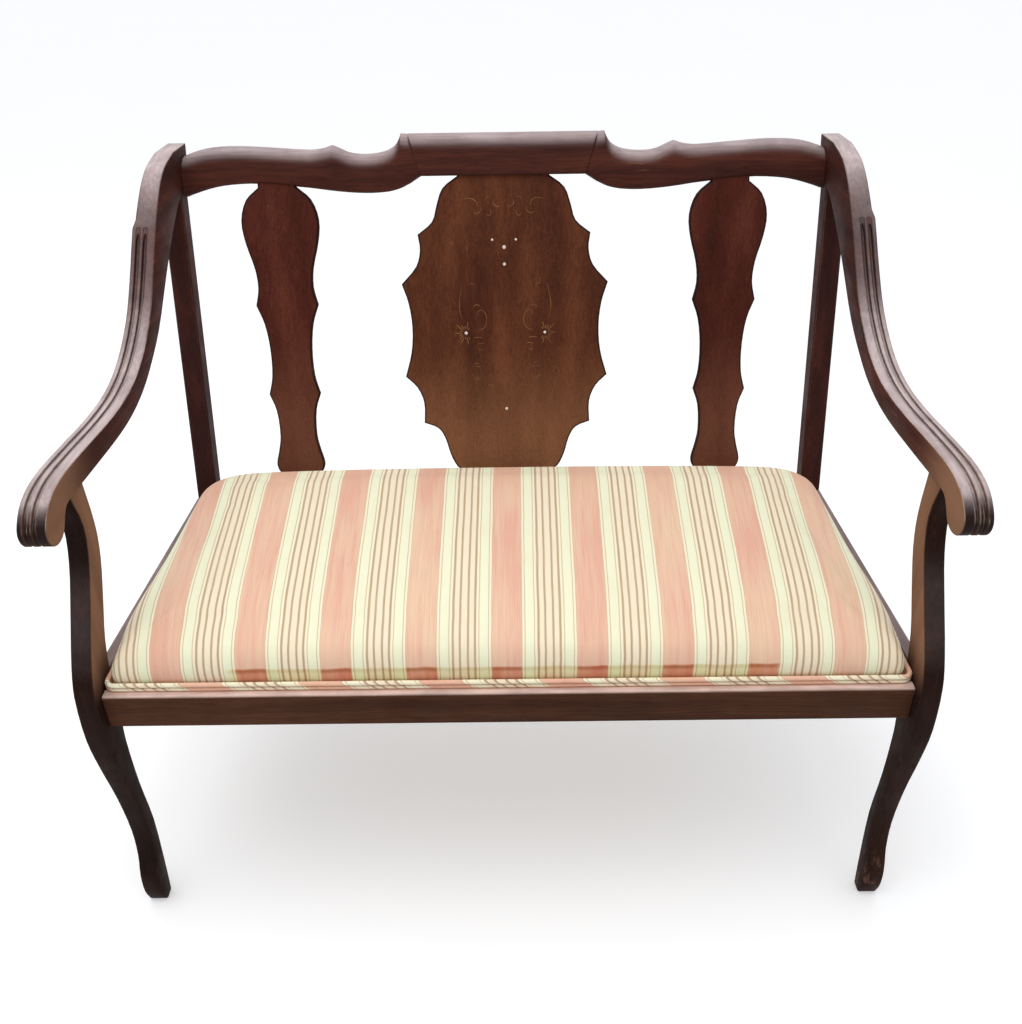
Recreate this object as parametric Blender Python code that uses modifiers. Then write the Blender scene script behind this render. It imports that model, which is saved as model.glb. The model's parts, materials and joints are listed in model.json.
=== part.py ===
"""Two-seat settee: swept reeded arms, a raked back of three shaped splats and a stuffed seat.

Metres, +Z up, the front towards -Y. Pieces are laid out from the middle of the front rail's face at
floor level, then the whole is moved so that its origin is the bottom centre of its bounding box.
"""

import math

import bmesh
import bpy
from mathutils import Matrix, Vector, geometry

OBJECT_NAME = "two_seat_settee"

# Fits
GAP = 0.0003
MERGE_DISTANCE = 0.00001
UNION_OVERLAP = 0.003
TENON_THICKNESS = 0.010
TENON_LENGTH = 0.013
TENON_SHOULDER = 0.009
DOWEL_RADIUS = 0.004
DOWEL_LENGTH = 0.036

# Seat frame
SEAT_HEIGHT = 0.410
SEAT_WIDTH = 1.005
SEAT_DEPTH = 0.462
SEAT_TAPER = 0.034
RAIL_HEIGHT = 0.050
RAIL_THICKNESS = 0.030
SIDE_RAIL_THICKNESS = 0.026
RAIL_EDGE = 0.0015
FRONT_RAIL_ROUND = 0.004
FRONT_RAIL_ROUND_STEPS = 4
REBATE_LEDGE = 0.016
SIDE_RAIL_SETBACK = 0.003
BACK_LIP_RISE = 0.006
BACK_LIP_THICKNESS = 0.028
BACK_LEDGE = 0.012
BACK_TENON_MARGIN = 0.002
CROSS_RAIL_WIDTH = 0.030
CROSS_RAIL_HEIGHT = 0.028
CROSS_RAIL_DISH = 0.008
CROSS_RAIL_DROP = 0.0105
CORNER_BLOCK_LEG = 0.055
CORNER_BLOCK_HEIGHT = 0.026

# Corner block screws
SCREW_RADIUS = 0.002
SCREW_HEAD_RADIUS = 0.004
SCREW_HEAD_HEIGHT = 0.003
SCREW_GRIP = 0.016
SCREW_BITE = 0.015
SCREW_POINT = 0.004
SCREW_OFFSET = 0.022
SCREW_STAGGER = 0.006

# Front legs, each in one piece with its arm support
LEG_WIDTH = 0.027
LEG_REAR = 0.043
LEG_EDGE = 0.003

# Back: posts in one piece with the rear legs
BACK_HEIGHT = 0.458
BACK_RAKE = math.radians(13.4)
POST_WIDTH = 0.031
POST_DEPTH = 0.030
POST_EDGE = 0.002
REAR_FOOT_SWEEP = 0.052
REAR_FOOT_DEPTH = 0.026
POST_TENON_MARGIN = 0.003
POST_TENON_RISE = 0.022

# Arms
ARM_HEIGHT = 0.249
ARM_WIDTH = 0.033
ARM_OVERHANG = 0.0025
ARM_SWEEP_REACH = 0.0501
ARM_SWEEP_RISE = 0.035
ARM_EDGE = 0.0025
SHOULDER_RISE = 0.057
SHOULDER_STEP = 0.0035
SHOULDER_STEP_LENGTH = 0.009
SHOULDER_TAPER = 0.003
REED_GROOVE_RADIUS = 0.0029
REED_GROOVES = (0.44, 0.74)

# Crest rail and splats
CREST_THICKNESS = 0.025
CREST_TOP_ROUND_DEPTH = 0.019
CREST_TOP_ROUND_HEIGHT = 0.026
CREST_FOOT_ROUND_DEPTH = 0.006
CREST_FOOT_ROUND_HEIGHT = 0.010
CREST_BACK_EDGE = 0.004
TABLET_PROUD = 0.002
TABLET_BEHIND = 0.0005
TABLET_ROUND_DEPTH = 0.019
TABLET_ROUND_HEIGHT = 0.027
TABLET_EDGE = 0.0015
CREST_TENON_HEIGHT = 0.026
CREST_TENON_LENGTH = 0.010
CREST_END = 0.034
SPLAT_THICKNESS = 0.011
SPLAT_SETBACK = 0.004
SPLAT_EDGE = 0.0025
SPLAT_SPREAD = 0.330
CENTER_WAIST = 0.0381
SIDE_WAIST = 0.0421
SPLAT_TONGUE = 0.015
SLOT_MOUTH = 0.030
CENTER_TONGUE_HALF = 0.067
SIDE_TONGUE_HALF = 0.028

# Upholstery
LEDGE = 0.012
FRONT_LEDGE = 0.009
STRAP_WIDTH = 0.050
STRAP_THICKNESS = 0.002
CROSS_STRAPS = 7
LONG_STRAPS = 3
HESSIAN_THICKNESS = 0.0012
COVER_THICKNESS = 0.0015
PAD_OVERHANG = 0.0065
PAD_OVERHANG_START = 0.007
PAD_OVERHANG_LENGTH = 0.235
PAD_OVERHANG_LEAN = 0.6
PAD_SWELL = 0.009
PAD_SWELL_POWER = 3
PAD_FRONT_RADIUS = 0.008
PAD_BACK_RADIUS = 0.045
PAD_RADIUS_GROWTH = 0.25
PAD_CORNER_SHARE = 0.45
PAD_BACK_STEEPNESS = 0.4
PAD_SIDE_STEEPNESS = 0.7
CORD_RADIUS = 0.0031
CORD_SPACING = 0.0055

# Facets
CORNER_ANGLE = math.radians(40)
OUTLINE_STEPS = 3
SWEEP_STEPS = 6
SCREW_SIDES = 10
DOWEL_SIDES = 16
CORD_STEPS = 6
CREST_TOP_STEPS = 5
CREST_FOOT_STEPS = 2
PAD_ENDWAYS_SPANS = 10
PAD_SIDE_SHARES = (0.05, 0.09, 0.15, 0.235, 0.365, 0.51, 0.68)
PAD_FRONT_STEPS = 3
PAD_BACK_STEPS = 5

# Outlines, each stretched to the sizes above. Legs: y behind the rail's face, z from the floor, the seat
# height or the arm level.
LEG_FRONT_ARM = ((0.070, 0.0), (0.083, -0.050), (0.071, -0.095))
LEG_FRONT_SEAT = ((0.041, 0.104), (0.004, 0.046), (-0.011, 0.010), (-0.016, -0.056), (-0.007, -0.115))
LEG_FRONT_FLOOR = ((0.010, 0.215), (0.019, 0.140), (0.015, 0.093), (0.004, 0.060), (0.003, 0.028),
                   (0.012, 0.0))
LEG_BACK_FLOOR = ((0.030, 0.0), (0.035, 0.045), (0.041, 0.140), (0.033, 0.225))
LEG_BACK_KNEE = ((0.032, -0.105), (0.037, -0.072))
LEG_BACK_SEAT = ((0.056, 0.048), (0.079, 0.091))
LEG_BACK_ARM = ((0.104, -0.108), (0.113, -0.065), (0.110, 0.0))

# Arms: the run over the seat from the rail's face and the arm level, the rise from the post's top edge.
ARM_TOP_RISE = ((-0.009, 0.057), (-0.051, 0.046), (-0.081, 0.025), (-0.118, -0.017),
                (-0.164, -0.078), (-0.201, -0.119))
ARM_TOP_RUN = ((0.320, 0.055), (0.270, 0.037), (0.210, 0.031), (0.120, 0.033), (0.060, 0.032))
ARM_SCROLL = ((0.026, 0.022), (0.006, 0.004), (0.001, -0.011), (0.008, -0.026), (0.022, -0.031),
              (0.036, -0.026), (0.046, -0.013), (0.056, -0.003), (0.068, 0.0))
ARM_UNDER_RUN = ((0.150, 0.0), (0.215, 0.001), (0.262, 0.006), (0.305, 0.0175), (0.343, 0.035))
ARM_UNDER_RISE = ((-0.176, -0.141), (-0.118, -0.088), (-0.067, -0.043), (-0.027, -0.014), (0.0, 0.0))
REED_STOP = 3
REED_END = -3

# Crest: half outline, x from the middle and height along the rake from the post's top. Its core lies in
# the tablet.
CREST_CORE_UNDER = ((0.116, 0.020), (0.0, 0.020))
CREST_CORE_OVER = ((0.0, 0.060), (0.116, 0.060), (0.120, 0.060), (0.136, 0.0735))
CREST_UNDER = ((0.425, 0.003), (0.390, 0.0075), (0.355, 0.008), (0.287, 0.002), (0.242, -0.004),
               (0.202, -0.007), (0.167, -0.0055), (0.144, 0.001), (0.120, 0.015))
CREST_OVER = ((0.147, 0.0745), (0.150, 0.067), (0.157, 0.0575), (0.173, 0.050), (0.200, 0.047),
              (0.222, 0.0495), (0.237, 0.056), (0.247, 0.060))
CREST_WING = ((0.247, 0.060), (0.260, 0.056), (0.280, 0.054), (0.353, 0.059), (0.395, 0.0605),
              (0.432, 0.0575))
CREST_END_UNDER = -0.009
CREST_END_OVER = 0.0475
TABLET = ((0.120, 0.0155), (0.138, 0.0740))

# Splats: half widths, height along the rake from the back rail's top, then from the post's top.
CENTER_LOWER = (((0.067, 0.0285), (0.080, 0.0385), (0.090, 0.0585), (0.0975, 0.0845), (0.108, 0.1015),
                 (0.1295, 0.1105)),
                ((0.1295, 0.1105), (0.129, 0.1435), (0.1385, 0.1675), (0.1555, 0.1845)))
CENTER_MIDDLE_LOW = ((0.1555, 0.1845), (0.145, 0.2225))
CENTER_MIDDLE_HIGH = ((0.142, -0.204), (0.146, -0.168), (0.155, -0.139))
CENTER_UPPER = (((0.155, -0.139), (0.132, -0.113), (0.1255, -0.089), (0.128, -0.067)),
                ((0.128, -0.067), (0.106, -0.049), (0.0985, -0.026), (0.089, -0.002), (0.067, 0.0148)))
SIDE_LOWER = (((0.028, 0.0265), (0.0355, 0.0355), (0.038, 0.0475), (0.033, 0.0685), (0.0288, 0.0925),
               (0.031, 0.1335), (0.0398, 0.1595)),)
SIDE_MIDDLE_LOW = ((0.0398, 0.1595), (0.033, 0.1875))
SIDE_MIDDLE_HIGH = ((0.032, -0.235), (0.037, -0.196), (0.047, -0.168))
SIDE_UPPER = (((0.047, -0.168), (0.0415, -0.142), (0.0438, -0.113), (0.0538, -0.0755), (0.057, -0.044),
               (0.0475, -0.015), (0.028, 0.0025)),)

# Seat pad: distance in from the pad's front foot line and height above the welt.
PAD_PROFILE = ((0.0, 0.005), (-0.001, 0.011), (0.001, 0.018), (0.006, 0.026), (0.016, 0.035), (0.034, 0.043),
               (0.064, 0.0495), (0.108, 0.054), (0.160, 0.057), (0.200, 0.058))

# Derived places
RAIL_BOTTOM = SEAT_HEIGHT - RAIL_HEIGHT
BACK_WIDTH = SEAT_WIDTH - 2 * SEAT_TAPER
POST_TOP = SEAT_HEIGHT + BACK_HEIGHT
ARM_LEVEL = SEAT_HEIGHT + ARM_HEIGHT
SHOULDER_SPAN = BACK_WIDTH - 2 * ARM_OVERHANG
REBATE_DEPTH = 2 * STRAP_THICKNESS + HESSIAN_THICKNESS + 3 * GAP
SIDE_REBATE_DEPTH = REBATE_DEPTH - STRAP_THICKNESS - GAP
RAKE_SLOPE = math.tan(BACK_RAKE)
POST_HEAD_Y = SEAT_DEPTH + RAKE_SLOPE * (POST_TOP - SEAT_HEIGHT)
POST_HEAD_RISE = (POST_TOP - SEAT_HEIGHT) / math.cos(BACK_RAKE)
ARM_STRETCH = (POST_HEAD_Y - ARM_SWEEP_REACH) / (ARM_TOP_RUN[0][0] - ARM_TOP_RISE[-1][0])
ARM_LIFT = (POST_TOP - ARM_LEVEL - ARM_SWEEP_RISE) / (ARM_TOP_RUN[0][1] - ARM_TOP_RISE[-1][1])
REED_STOP_LEVEL = POST_TOP + ARM_TOP_RISE[REED_STOP][1] * ARM_LIFT
CREST_STRETCH = (SHOULDER_SPAN / 2 - CREST_END) / CREST_WING[-1][0]
BACK_LIP_TOP = SEAT_HEIGHT + BACK_LIP_RISE
BACK_LIP_UP = BACK_LIP_RISE / math.cos(BACK_RAKE)
BACK_RAIL_FRONT = SEAT_DEPTH - BACK_LEDGE
LEG_MIDDLE = SEAT_WIDTH / 2 + LEG_WIDTH / 2
POST_MIDDLE = BACK_WIDTH / 2 + POST_WIDTH / 2
ARM_MIDDLE_BACK = SHOULDER_SPAN / 2 + ARM_WIDTH / 2
LEG_TOP_MIDDLE = (LEG_FRONT_ARM[0][0] + LEG_BACK_ARM[-1][0]) / 2
ARM_SPLAY = (LEG_MIDDLE - ARM_MIDDLE_BACK) / (POST_HEAD_Y - LEG_TOP_MIDDLE)
SIDE_FACE_FRONT = SEAT_WIDTH / 2 + LEG_WIDTH - SIDE_RAIL_SETBACK
SIDE_FACE_BACK = BACK_WIDTH / 2 + POST_WIDTH
CORNER_BLOCK_TOP = SEAT_HEIGHT - REBATE_DEPTH - 2 * GAP
PAD_FOOT = SEAT_HEIGHT + GAP
WELT_TOP = PAD_FOOT + 2 * CORD_RADIUS + CORD_SPACING
PAD_SHOULDER = PAD_PROFILE[3][1]
PAD_FRONT = FRONT_LEDGE + 2 * CORD_RADIUS
PAD_BACK = SEAT_DEPTH - 2 * CORD_RADIUS - 2 * GAP
PAD_HALF_FRONT = SEAT_WIDTH / 2 - 2 * CORD_RADIUS - 3 * GAP
PAD_HALF_BACK = SIDE_FACE_BACK - LEDGE - 2 * CORD_RADIUS

# Boards standing in the side plane (outline in y, z), in the front plane of the raked back, or lying flat
SIDE_PLANE = Matrix(((0, 0, 1, 0), (1, 0, 0, 0), (0, 1, 0, 0), (0, 0, 0, 1)))
LEAN = Matrix.Rotation(math.pi / 2 - BACK_RAKE, 4, "X")
BACK_PLANE = Matrix.Translation((0, SEAT_DEPTH, SEAT_HEIGHT)) @ LEAN

SIDES = (("left", -1), ("right", 1))


def clear_scene():
    for item in list(bpy.data.objects):
        bpy.data.objects.remove(item, do_unlink=True)


def new_collection(name):
    group = bpy.data.collections.new(name)
    bpy.context.scene.collection.children.link(group)
    return group


def finish(name, colour, roughness, metallic=0.0):
    """Plain surface: base colour, roughness and metallic value."""
    surface = bpy.data.materials.new(name)
    surface.use_nodes = True
    shader = surface.node_tree.nodes["Principled BSDF"]
    shader.inputs["Base Color"].default_value = (*colour, 1.0)
    shader.inputs["Roughness"].default_value = roughness
    shader.inputs["Metallic"].default_value = metallic
    return surface


clear_scene()
PARTS = new_collection(OBJECT_NAME)
CUTTERS = new_collection("cutters")
ROOT = bpy.data.objects.new(OBJECT_NAME + "_origin", None)
PARTS.objects.link(ROOT)

MAHOGANY = finish("dark_mahogany", (0.075, 0.026, 0.018), 0.32)
SPLAT_WOOD = finish("splat_mahogany", (0.115, 0.045, 0.024), 0.35)
FRAME_WOOD = finish("inner_frame_beech", (0.42, 0.27, 0.14), 0.6)
STEEL = finish("screw_steel", (0.35, 0.33, 0.30), 0.4, 1.0)
JUTE = finish("jute_webbing", (0.36, 0.25, 0.13), 0.9)
HESSIAN = finish("hessian", (0.40, 0.28, 0.15), 0.95)
HAIR = finish("hair_stuffing", (0.10, 0.07, 0.05), 0.95)
CLOTH = finish("striped_cloth", (0.80, 0.55, 0.40), 0.8)
WELT_CLOTH = finish("welt_cloth", (0.82, 0.62, 0.46), 0.8)


def add(name, mesh, surface, frame=None):
    """Put a mesh in the scene as a piece of the settee, or as a hidden cutter if it has no surface."""
    piece = bpy.data.objects.new(name, mesh)
    group = PARTS if surface else CUTTERS
    group.objects.link(piece)
    piece.parent = ROOT
    piece.matrix_basis = frame or Matrix()
    if surface:
        mesh.materials.append(surface)
    else:
        piece.hide_render = True
        piece.display_type = "WIRE"
    return piece


def flow(points, steps=OUTLINE_STEPS):
    """Points of a smooth run through the given ones, both ends included."""
    knots = [Vector(point) for point in points]
    last = len(knots) - 1
    headings = [(knots[min(i + 1, last)] - knots[max(i - 1, 0)]).normalized() for i in range(last + 1)]
    run = []
    for i in range(last):
        start, end = knots[i], knots[i + 1]
        reach = (end - start).length / 3
        leave = start + headings[i] * reach
        arrive = end - headings[i + 1] * reach
        run += geometry.interpolate_bezier(start, leave, arrive, end, steps + 1)[:-1]
    run.append(knots[last])
    return [(point[0], point[1]) for point in run]


def chain(*runs):
    """One outline from runs that start where the last one ended."""
    outline = []
    for run in runs:
        outline += run if not outline or outline[-1] != run[0] else run[1:]
    return outline


def board_mesh(name, outline, thickness):
    """Mesh of a flat board: a filled outline, thick to both sides of its plane."""
    curve = bpy.data.curves.new(name, "CURVE")
    curve.dimensions = "2D"
    curve.fill_mode = "BOTH"
    curve.extrude = thickness / 2
    spline = curve.splines.new("POLY")
    spline.points.add(len(outline) - 1)
    for point, (u, v) in zip(spline.points, outline):
        point.co = (u, v, 0.0, 1.0)
    spline.use_cyclic_u = True
    drawn = bpy.data.objects.new(name + "_outline", curve)
    PARTS.objects.link(drawn)
    depsgraph = bpy.context.evaluated_depsgraph_get()
    mesh = bpy.data.meshes.new_from_object(drawn.evaluated_get(depsgraph))
    bpy.data.objects.remove(drawn, do_unlink=True)
    work = bmesh.new()
    work.from_mesh(mesh)
    bmesh.ops.remove_doubles(work, verts=work.verts, dist=MERGE_DISTANCE)
    bmesh.ops.dissolve_limit(work, angle_limit=math.radians(0.1), verts=work.verts, edges=work.edges)
    bmesh.ops.recalc_face_normals(work, faces=work.faces)
    work.to_mesh(mesh)
    work.free()
    mesh.name = name
    return mesh


def reshape(mesh, place):
    """Move every point of a mesh by a rule and set its faces outward again."""
    work = bmesh.new()
    work.from_mesh(mesh)
    for point in work.verts:
        point.co = place(point.co)
    bmesh.ops.recalc_face_normals(work, faces=work.faces)
    work.to_mesh(mesh)
    work.free()
    return mesh


def box_mesh(name, low, high):
    """Box between two opposite corners."""
    mesh = bpy.data.meshes.new(name)
    work = bmesh.new()
    bmesh.ops.create_cube(work, size=1.0)
    for point in work.verts:
        point.co = [low[i] + (point.co[i] + 0.5) * (high[i] - low[i]) for i in range(3)]
    work.to_mesh(mesh)
    work.free()
    return mesh


def round_mesh(name, radius, low, high, sides):
    """Upright cylinder between two levels."""
    mesh = bpy.data.meshes.new(name)
    work = bmesh.new()
    bmesh.ops.create_cone(work, cap_ends=True, segments=sides, radius1=radius, radius2=radius,
                          depth=high - low)
    bmesh.ops.translate(work, verts=work.verts, vec=(0, 0, (low + high) / 2))
    work.to_mesh(mesh)
    work.free()
    return mesh


def ease(piece, width, segments=1, angle=CORNER_ANGLE):
    """Round off a piece's corners that turn by more than an angle."""
    edge = piece.modifiers.new("eased edges", "BEVEL")
    edge.width = width
    edge.segments = segments
    edge.limit_method = "ANGLE"
    edge.angle_limit = angle


def round_faces(piece, width):
    """Take off the edges of a board's two faces."""
    work = bmesh.new()
    work.from_mesh(piece.data)
    weight = work.edges.layers.float.new("bevel_weight_edge")
    for edge in work.edges:
        level = edge.verts[0].co.z * edge.verts[1].co.z > 0
        if level and edge.calc_face_angle() > CORNER_ANGLE:
            edge[weight] = 1.0
    work.to_mesh(piece.data)
    work.free()
    edge = piece.modifiers.new("eased faces", "BEVEL")
    edge.width = width
    edge.segments = 1
    edge.limit_method = "WEIGHT"
    edge.use_clamp_overlap = False


def combine(piece, tool, operation):
    step = piece.modifiers.new(tool.name, "BOOLEAN")
    step.operation = operation
    step.object = tool
    step.solver = "EXACT"


def tenon(piece, mate, low, high, mouth, frame=None):
    """Grow a box on a piece and cut its mortise, a gap wider, in the mate.

    mouth is the axis and the sign of the side on which the box is rooted in its piece.
    """
    axis, sign = mouth
    rooted_low, rooted_high = list(low), list(high)
    hole_low = [value - GAP for value in low]
    hole_high = [value + GAP for value in high]
    if sign < 0:
        rooted_low[axis] -= UNION_OVERLAP
        hole_low[axis] -= UNION_OVERLAP
    else:
        rooted_high[axis] += UNION_OVERLAP
        hole_high[axis] += UNION_OVERLAP
    name = piece.name + "_into_" + mate.name
    tongue = add(name + "_tenon", box_mesh(name, rooted_low, rooted_high), None, frame)
    hole = add(name + "_mortise", box_mesh(name, hole_low, hole_high), None, frame)
    combine(piece, tongue, "UNION")
    combine(mate, hole, "DIFFERENCE")


def side_face(y):
    """Distance of a side rail's outer face from the middle."""
    along = (y - LEG_REAR) / (SEAT_DEPTH - LEG_REAR)
    return SIDE_FACE_FRONT + along * (SIDE_FACE_BACK - SIDE_FACE_FRONT)


def arm_middle(y):
    """Distance of an arm's middle plane from the middle of the settee."""
    return ARM_MIDDLE_BACK + ARM_SPLAY * (POST_HEAD_Y - y)


def across(x):
    """The side plane, moved across the settee."""
    return Matrix.Translation((x, 0, 0)) @ SIDE_PLANE


def raised(points, level):
    return [(y, z + level) for y, z in points]


def front_leg(label, side):
    front = flow(raised(LEG_FRONT_ARM, ARM_LEVEL - GAP) + raised(LEG_FRONT_SEAT, SEAT_HEIGHT)
                 + list(LEG_FRONT_FLOOR))
    shin = flow(list(LEG_BACK_FLOOR) + raised(LEG_BACK_KNEE, SEAT_HEIGHT) + [(LEG_REAR, RAIL_BOTTOM)])
    support = flow([(LEG_REAR, SEAT_HEIGHT)] + raised(LEG_BACK_SEAT, SEAT_HEIGHT)
                   + raised(LEG_BACK_ARM, ARM_LEVEL - GAP))
    mesh = board_mesh("front_leg_" + label, chain(front, shin, support), LEG_WIDTH)
    leg = add("front_leg_" + label, mesh, MAHOGANY, across(side * LEG_MIDDLE))
    ease(leg, LEG_EDGE, 2)
    return leg


def back_post(label, side):
    foot_back = SEAT_DEPTH + REAR_FOOT_SWEEP + REAR_FOOT_DEPTH
    front, back = [], []
    for i in range(SWEEP_STEPS + 1):
        z = RAIL_BOTTOM * i / SWEEP_STEPS
        bend = (1 - i / SWEEP_STEPS) ** 2
        front.append((SEAT_DEPTH + REAR_FOOT_SWEEP * bend, z))
        back.append((SEAT_DEPTH + POST_DEPTH + (foot_back - SEAT_DEPTH - POST_DEPTH) * bend, z))
    head = POST_TOP - GAP
    head_y = POST_HEAD_Y - GAP * RAKE_SLOPE
    outline = front + [(SEAT_DEPTH, SEAT_HEIGHT), (head_y, head), (head_y + POST_DEPTH, head),
                       (SEAT_DEPTH + POST_DEPTH, SEAT_HEIGHT)] + back[::-1]
    mesh = board_mesh("back_post_" + label, outline, POST_WIDTH)
    post = add("back_post_" + label, mesh, MAHOGANY, across(side * POST_MIDDLE))
    ease(post, POST_EDGE)
    return post


def arm_edges():
    """The arm's outline as runs in y and z: over the top and the scroll, then along the underside."""

    def rise(points):
        return [(y * ARM_STRETCH + POST_HEAD_Y, z * (ARM_LIFT if z < 0 else 1) + POST_TOP) for y, z in points]

    def run(points):
        return [(y * ARM_STRETCH, z * ARM_LIFT + ARM_LEVEL) for y, z in points]

    tail = (POST_HEAD_Y + POST_DEPTH + SHOULDER_RISE * RAKE_SLOPE, POST_TOP + SHOULDER_RISE)
    top = rise(ARM_TOP_RISE) + run(ARM_TOP_RUN) + raised(ARM_SCROLL, ARM_LEVEL)
    under = run(ARM_UNDER_RUN) + rise(ARM_UNDER_RISE)
    heel = (POST_HEAD_Y + POST_DEPTH, POST_TOP)
    return tail, top, under, heel


def reed_groove(arm, label, side, offset, top):
    """Cut a round groove along the arm's top, from the stop on the rise to under the scroll."""
    curve = bpy.data.curves.new(arm.name + "_groove", "CURVE")
    curve.dimensions = "3D"
    curve.bevel_depth = REED_GROOVE_RADIUS
    curve.bevel_resolution = 1
    curve.use_fill_caps = True
    run = flow(top[REED_STOP:REED_END])
    spline = curve.splines.new("POLY")
    spline.points.add(len(run) - 1)
    for point, (y, z) in zip(spline.points, run):
        point.co = (side * (arm_middle(y) + offset), y, z, 1.0)
    drawn = bpy.data.objects.new("groove_path", curve)
    PARTS.objects.link(drawn)
    depsgraph = bpy.context.evaluated_depsgraph_get()
    mesh = bpy.data.meshes.new_from_object(drawn.evaluated_get(depsgraph))
    bpy.data.objects.remove(drawn, do_unlink=True)
    work = bmesh.new()
    work.from_mesh(mesh)
    bmesh.ops.remove_doubles(work, verts=work.verts, dist=MERGE_DISTANCE)
    bmesh.ops.recalc_face_normals(work, faces=work.faces)
    work.to_mesh(mesh)
    work.free()
    combine(arm, add(f"groove_{label}_{offset:+.3f}", mesh, None), "DIFFERENCE")


def score(mesh, level):
    """Divide a board's faces along a line across it."""
    work = bmesh.new()
    work.from_mesh(mesh)
    everything = work.verts[:] + work.edges[:] + work.faces[:]
    bmesh.ops.bisect_plane(work, geom=everything, dist=MERGE_DISTANCE, plane_co=(0, level, 0),
                           plane_no=(0, 1, 0))
    work.to_mesh(mesh)
    work.free()


def shoulder_narrowing(z):
    """How far the plain shoulder's outer face lies inside that of the reeded run below it."""
    above = z - REED_STOP_LEVEL
    step = SHOULDER_STEP * min(max(above / SHOULDER_STEP_LENGTH, 0.0), 1.0)
    return step + SHOULDER_TAPER * max((above - SHOULDER_STEP_LENGTH) / SHOULDER_RISE, 0.0)


def arm(label, side):
    tail, top, under, heel = arm_edges()
    outline = chain([tail], flow(top), flow(under), [heel])
    mesh = board_mesh("arm_" + label, outline, ARM_WIDTH)
    score(mesh, REED_STOP_LEVEL)
    score(mesh, REED_STOP_LEVEL + SHOULDER_STEP_LENGTH)

    def place(p):
        splayed = p.z + side * (arm_middle(p.x) - ARM_MIDDLE_BACK)
        outer = p.z * side > 0
        return (p.x, p.y, splayed - side * shoulder_narrowing(p.y) if outer else splayed)

    reshape(mesh, place)
    piece = add("arm_" + label, mesh, MAHOGANY, across(side * ARM_MIDDLE_BACK))
    ease(piece, ARM_EDGE, 2)
    for share in REED_GROOVES:
        reed_groove(piece, label, side, (share - 0.5) * ARM_WIDTH, top)
    return piece


def front_rail():
    step = SEAT_HEIGHT - REBATE_DEPTH
    outline = [(0, RAIL_BOTTOM), (RAIL_THICKNESS, RAIL_BOTTOM), (RAIL_THICKNESS, step), (REBATE_LEDGE, step),
               (REBATE_LEDGE, SEAT_HEIGHT)]
    outline += corner_arc(FRONT_RAIL_ROUND, SEAT_HEIGHT - FRONT_RAIL_ROUND, FRONT_RAIL_ROUND, math.pi / 2,
                          FRONT_RAIL_ROUND_STEPS)
    mesh = board_mesh("front_seat_rail", outline, SEAT_WIDTH - 2 * GAP)
    rail = add("front_seat_rail", mesh, MAHOGANY, SIDE_PLANE)
    ease(rail, RAIL_EDGE)
    return rail


def back_rail():
    step = SEAT_HEIGHT - REBATE_DEPTH
    rear = SEAT_DEPTH + BACK_LIP_THICKNESS
    outline = [(BACK_RAIL_FRONT, RAIL_BOTTOM), (rear, RAIL_BOTTOM), (rear, BACK_LIP_TOP),
               (SEAT_DEPTH, BACK_LIP_TOP), (SEAT_DEPTH, step), (BACK_RAIL_FRONT, step)]
    mesh = board_mesh("back_seat_rail", outline, BACK_WIDTH - 2 * GAP)
    rail = add("back_seat_rail", mesh, MAHOGANY, SIDE_PLANE)
    ease(rail, RAIL_EDGE)
    return rail


def side_rail(label, side):
    step = SEAT_HEIGHT - SIDE_REBATE_DEPTH
    inner = SIDE_RAIL_THICKNESS
    outline = [(0, RAIL_BOTTOM), (inner, RAIL_BOTTOM), (inner, step), (REBATE_LEDGE, step),
               (REBATE_LEDGE, SEAT_HEIGHT), (0, SEAT_HEIGHT)]
    length = SEAT_DEPTH - LEG_REAR - 2 * GAP
    middle = (SEAT_DEPTH + LEG_REAR) / 2
    mesh = board_mesh("side_rail_" + label, outline, length)
    reshape(mesh, lambda p: (side * (side_face(middle + p.z) - p.x), middle + p.z, p.y))
    rail = add("side_rail_" + label, mesh, MAHOGANY)
    ease(rail, RAIL_EDGE)
    return rail


def cross_rail(front, back):
    start, end = RAIL_THICKNESS + GAP, BACK_RAIL_FRONT - GAP
    top = SEAT_HEIGHT - REBATE_DEPTH - CROSS_RAIL_DROP
    bottom = top - CROSS_RAIL_HEIGHT
    middle = (start + end) / 2
    outline = chain([(start, bottom), (end, bottom)],
                    flow([(end, top), (middle, top - CROSS_RAIL_DISH), (start, top)], SWEEP_STEPS))
    mesh = board_mesh("seat_cross_rail", outline, CROSS_RAIL_WIDTH)
    rail = add("seat_cross_rail", mesh, FRAME_WOOD, SIDE_PLANE)
    half = TENON_THICKNESS / 2
    low, high = bottom + TENON_SHOULDER, top - TENON_SHOULDER
    tenon(rail, front, (-half, start - TENON_LENGTH, low), (half, start, high), (1, 1))
    tenon(rail, back, (-half, end, low), (half, end + TENON_LENGTH, high), (1, -1))
    return rail


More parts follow.
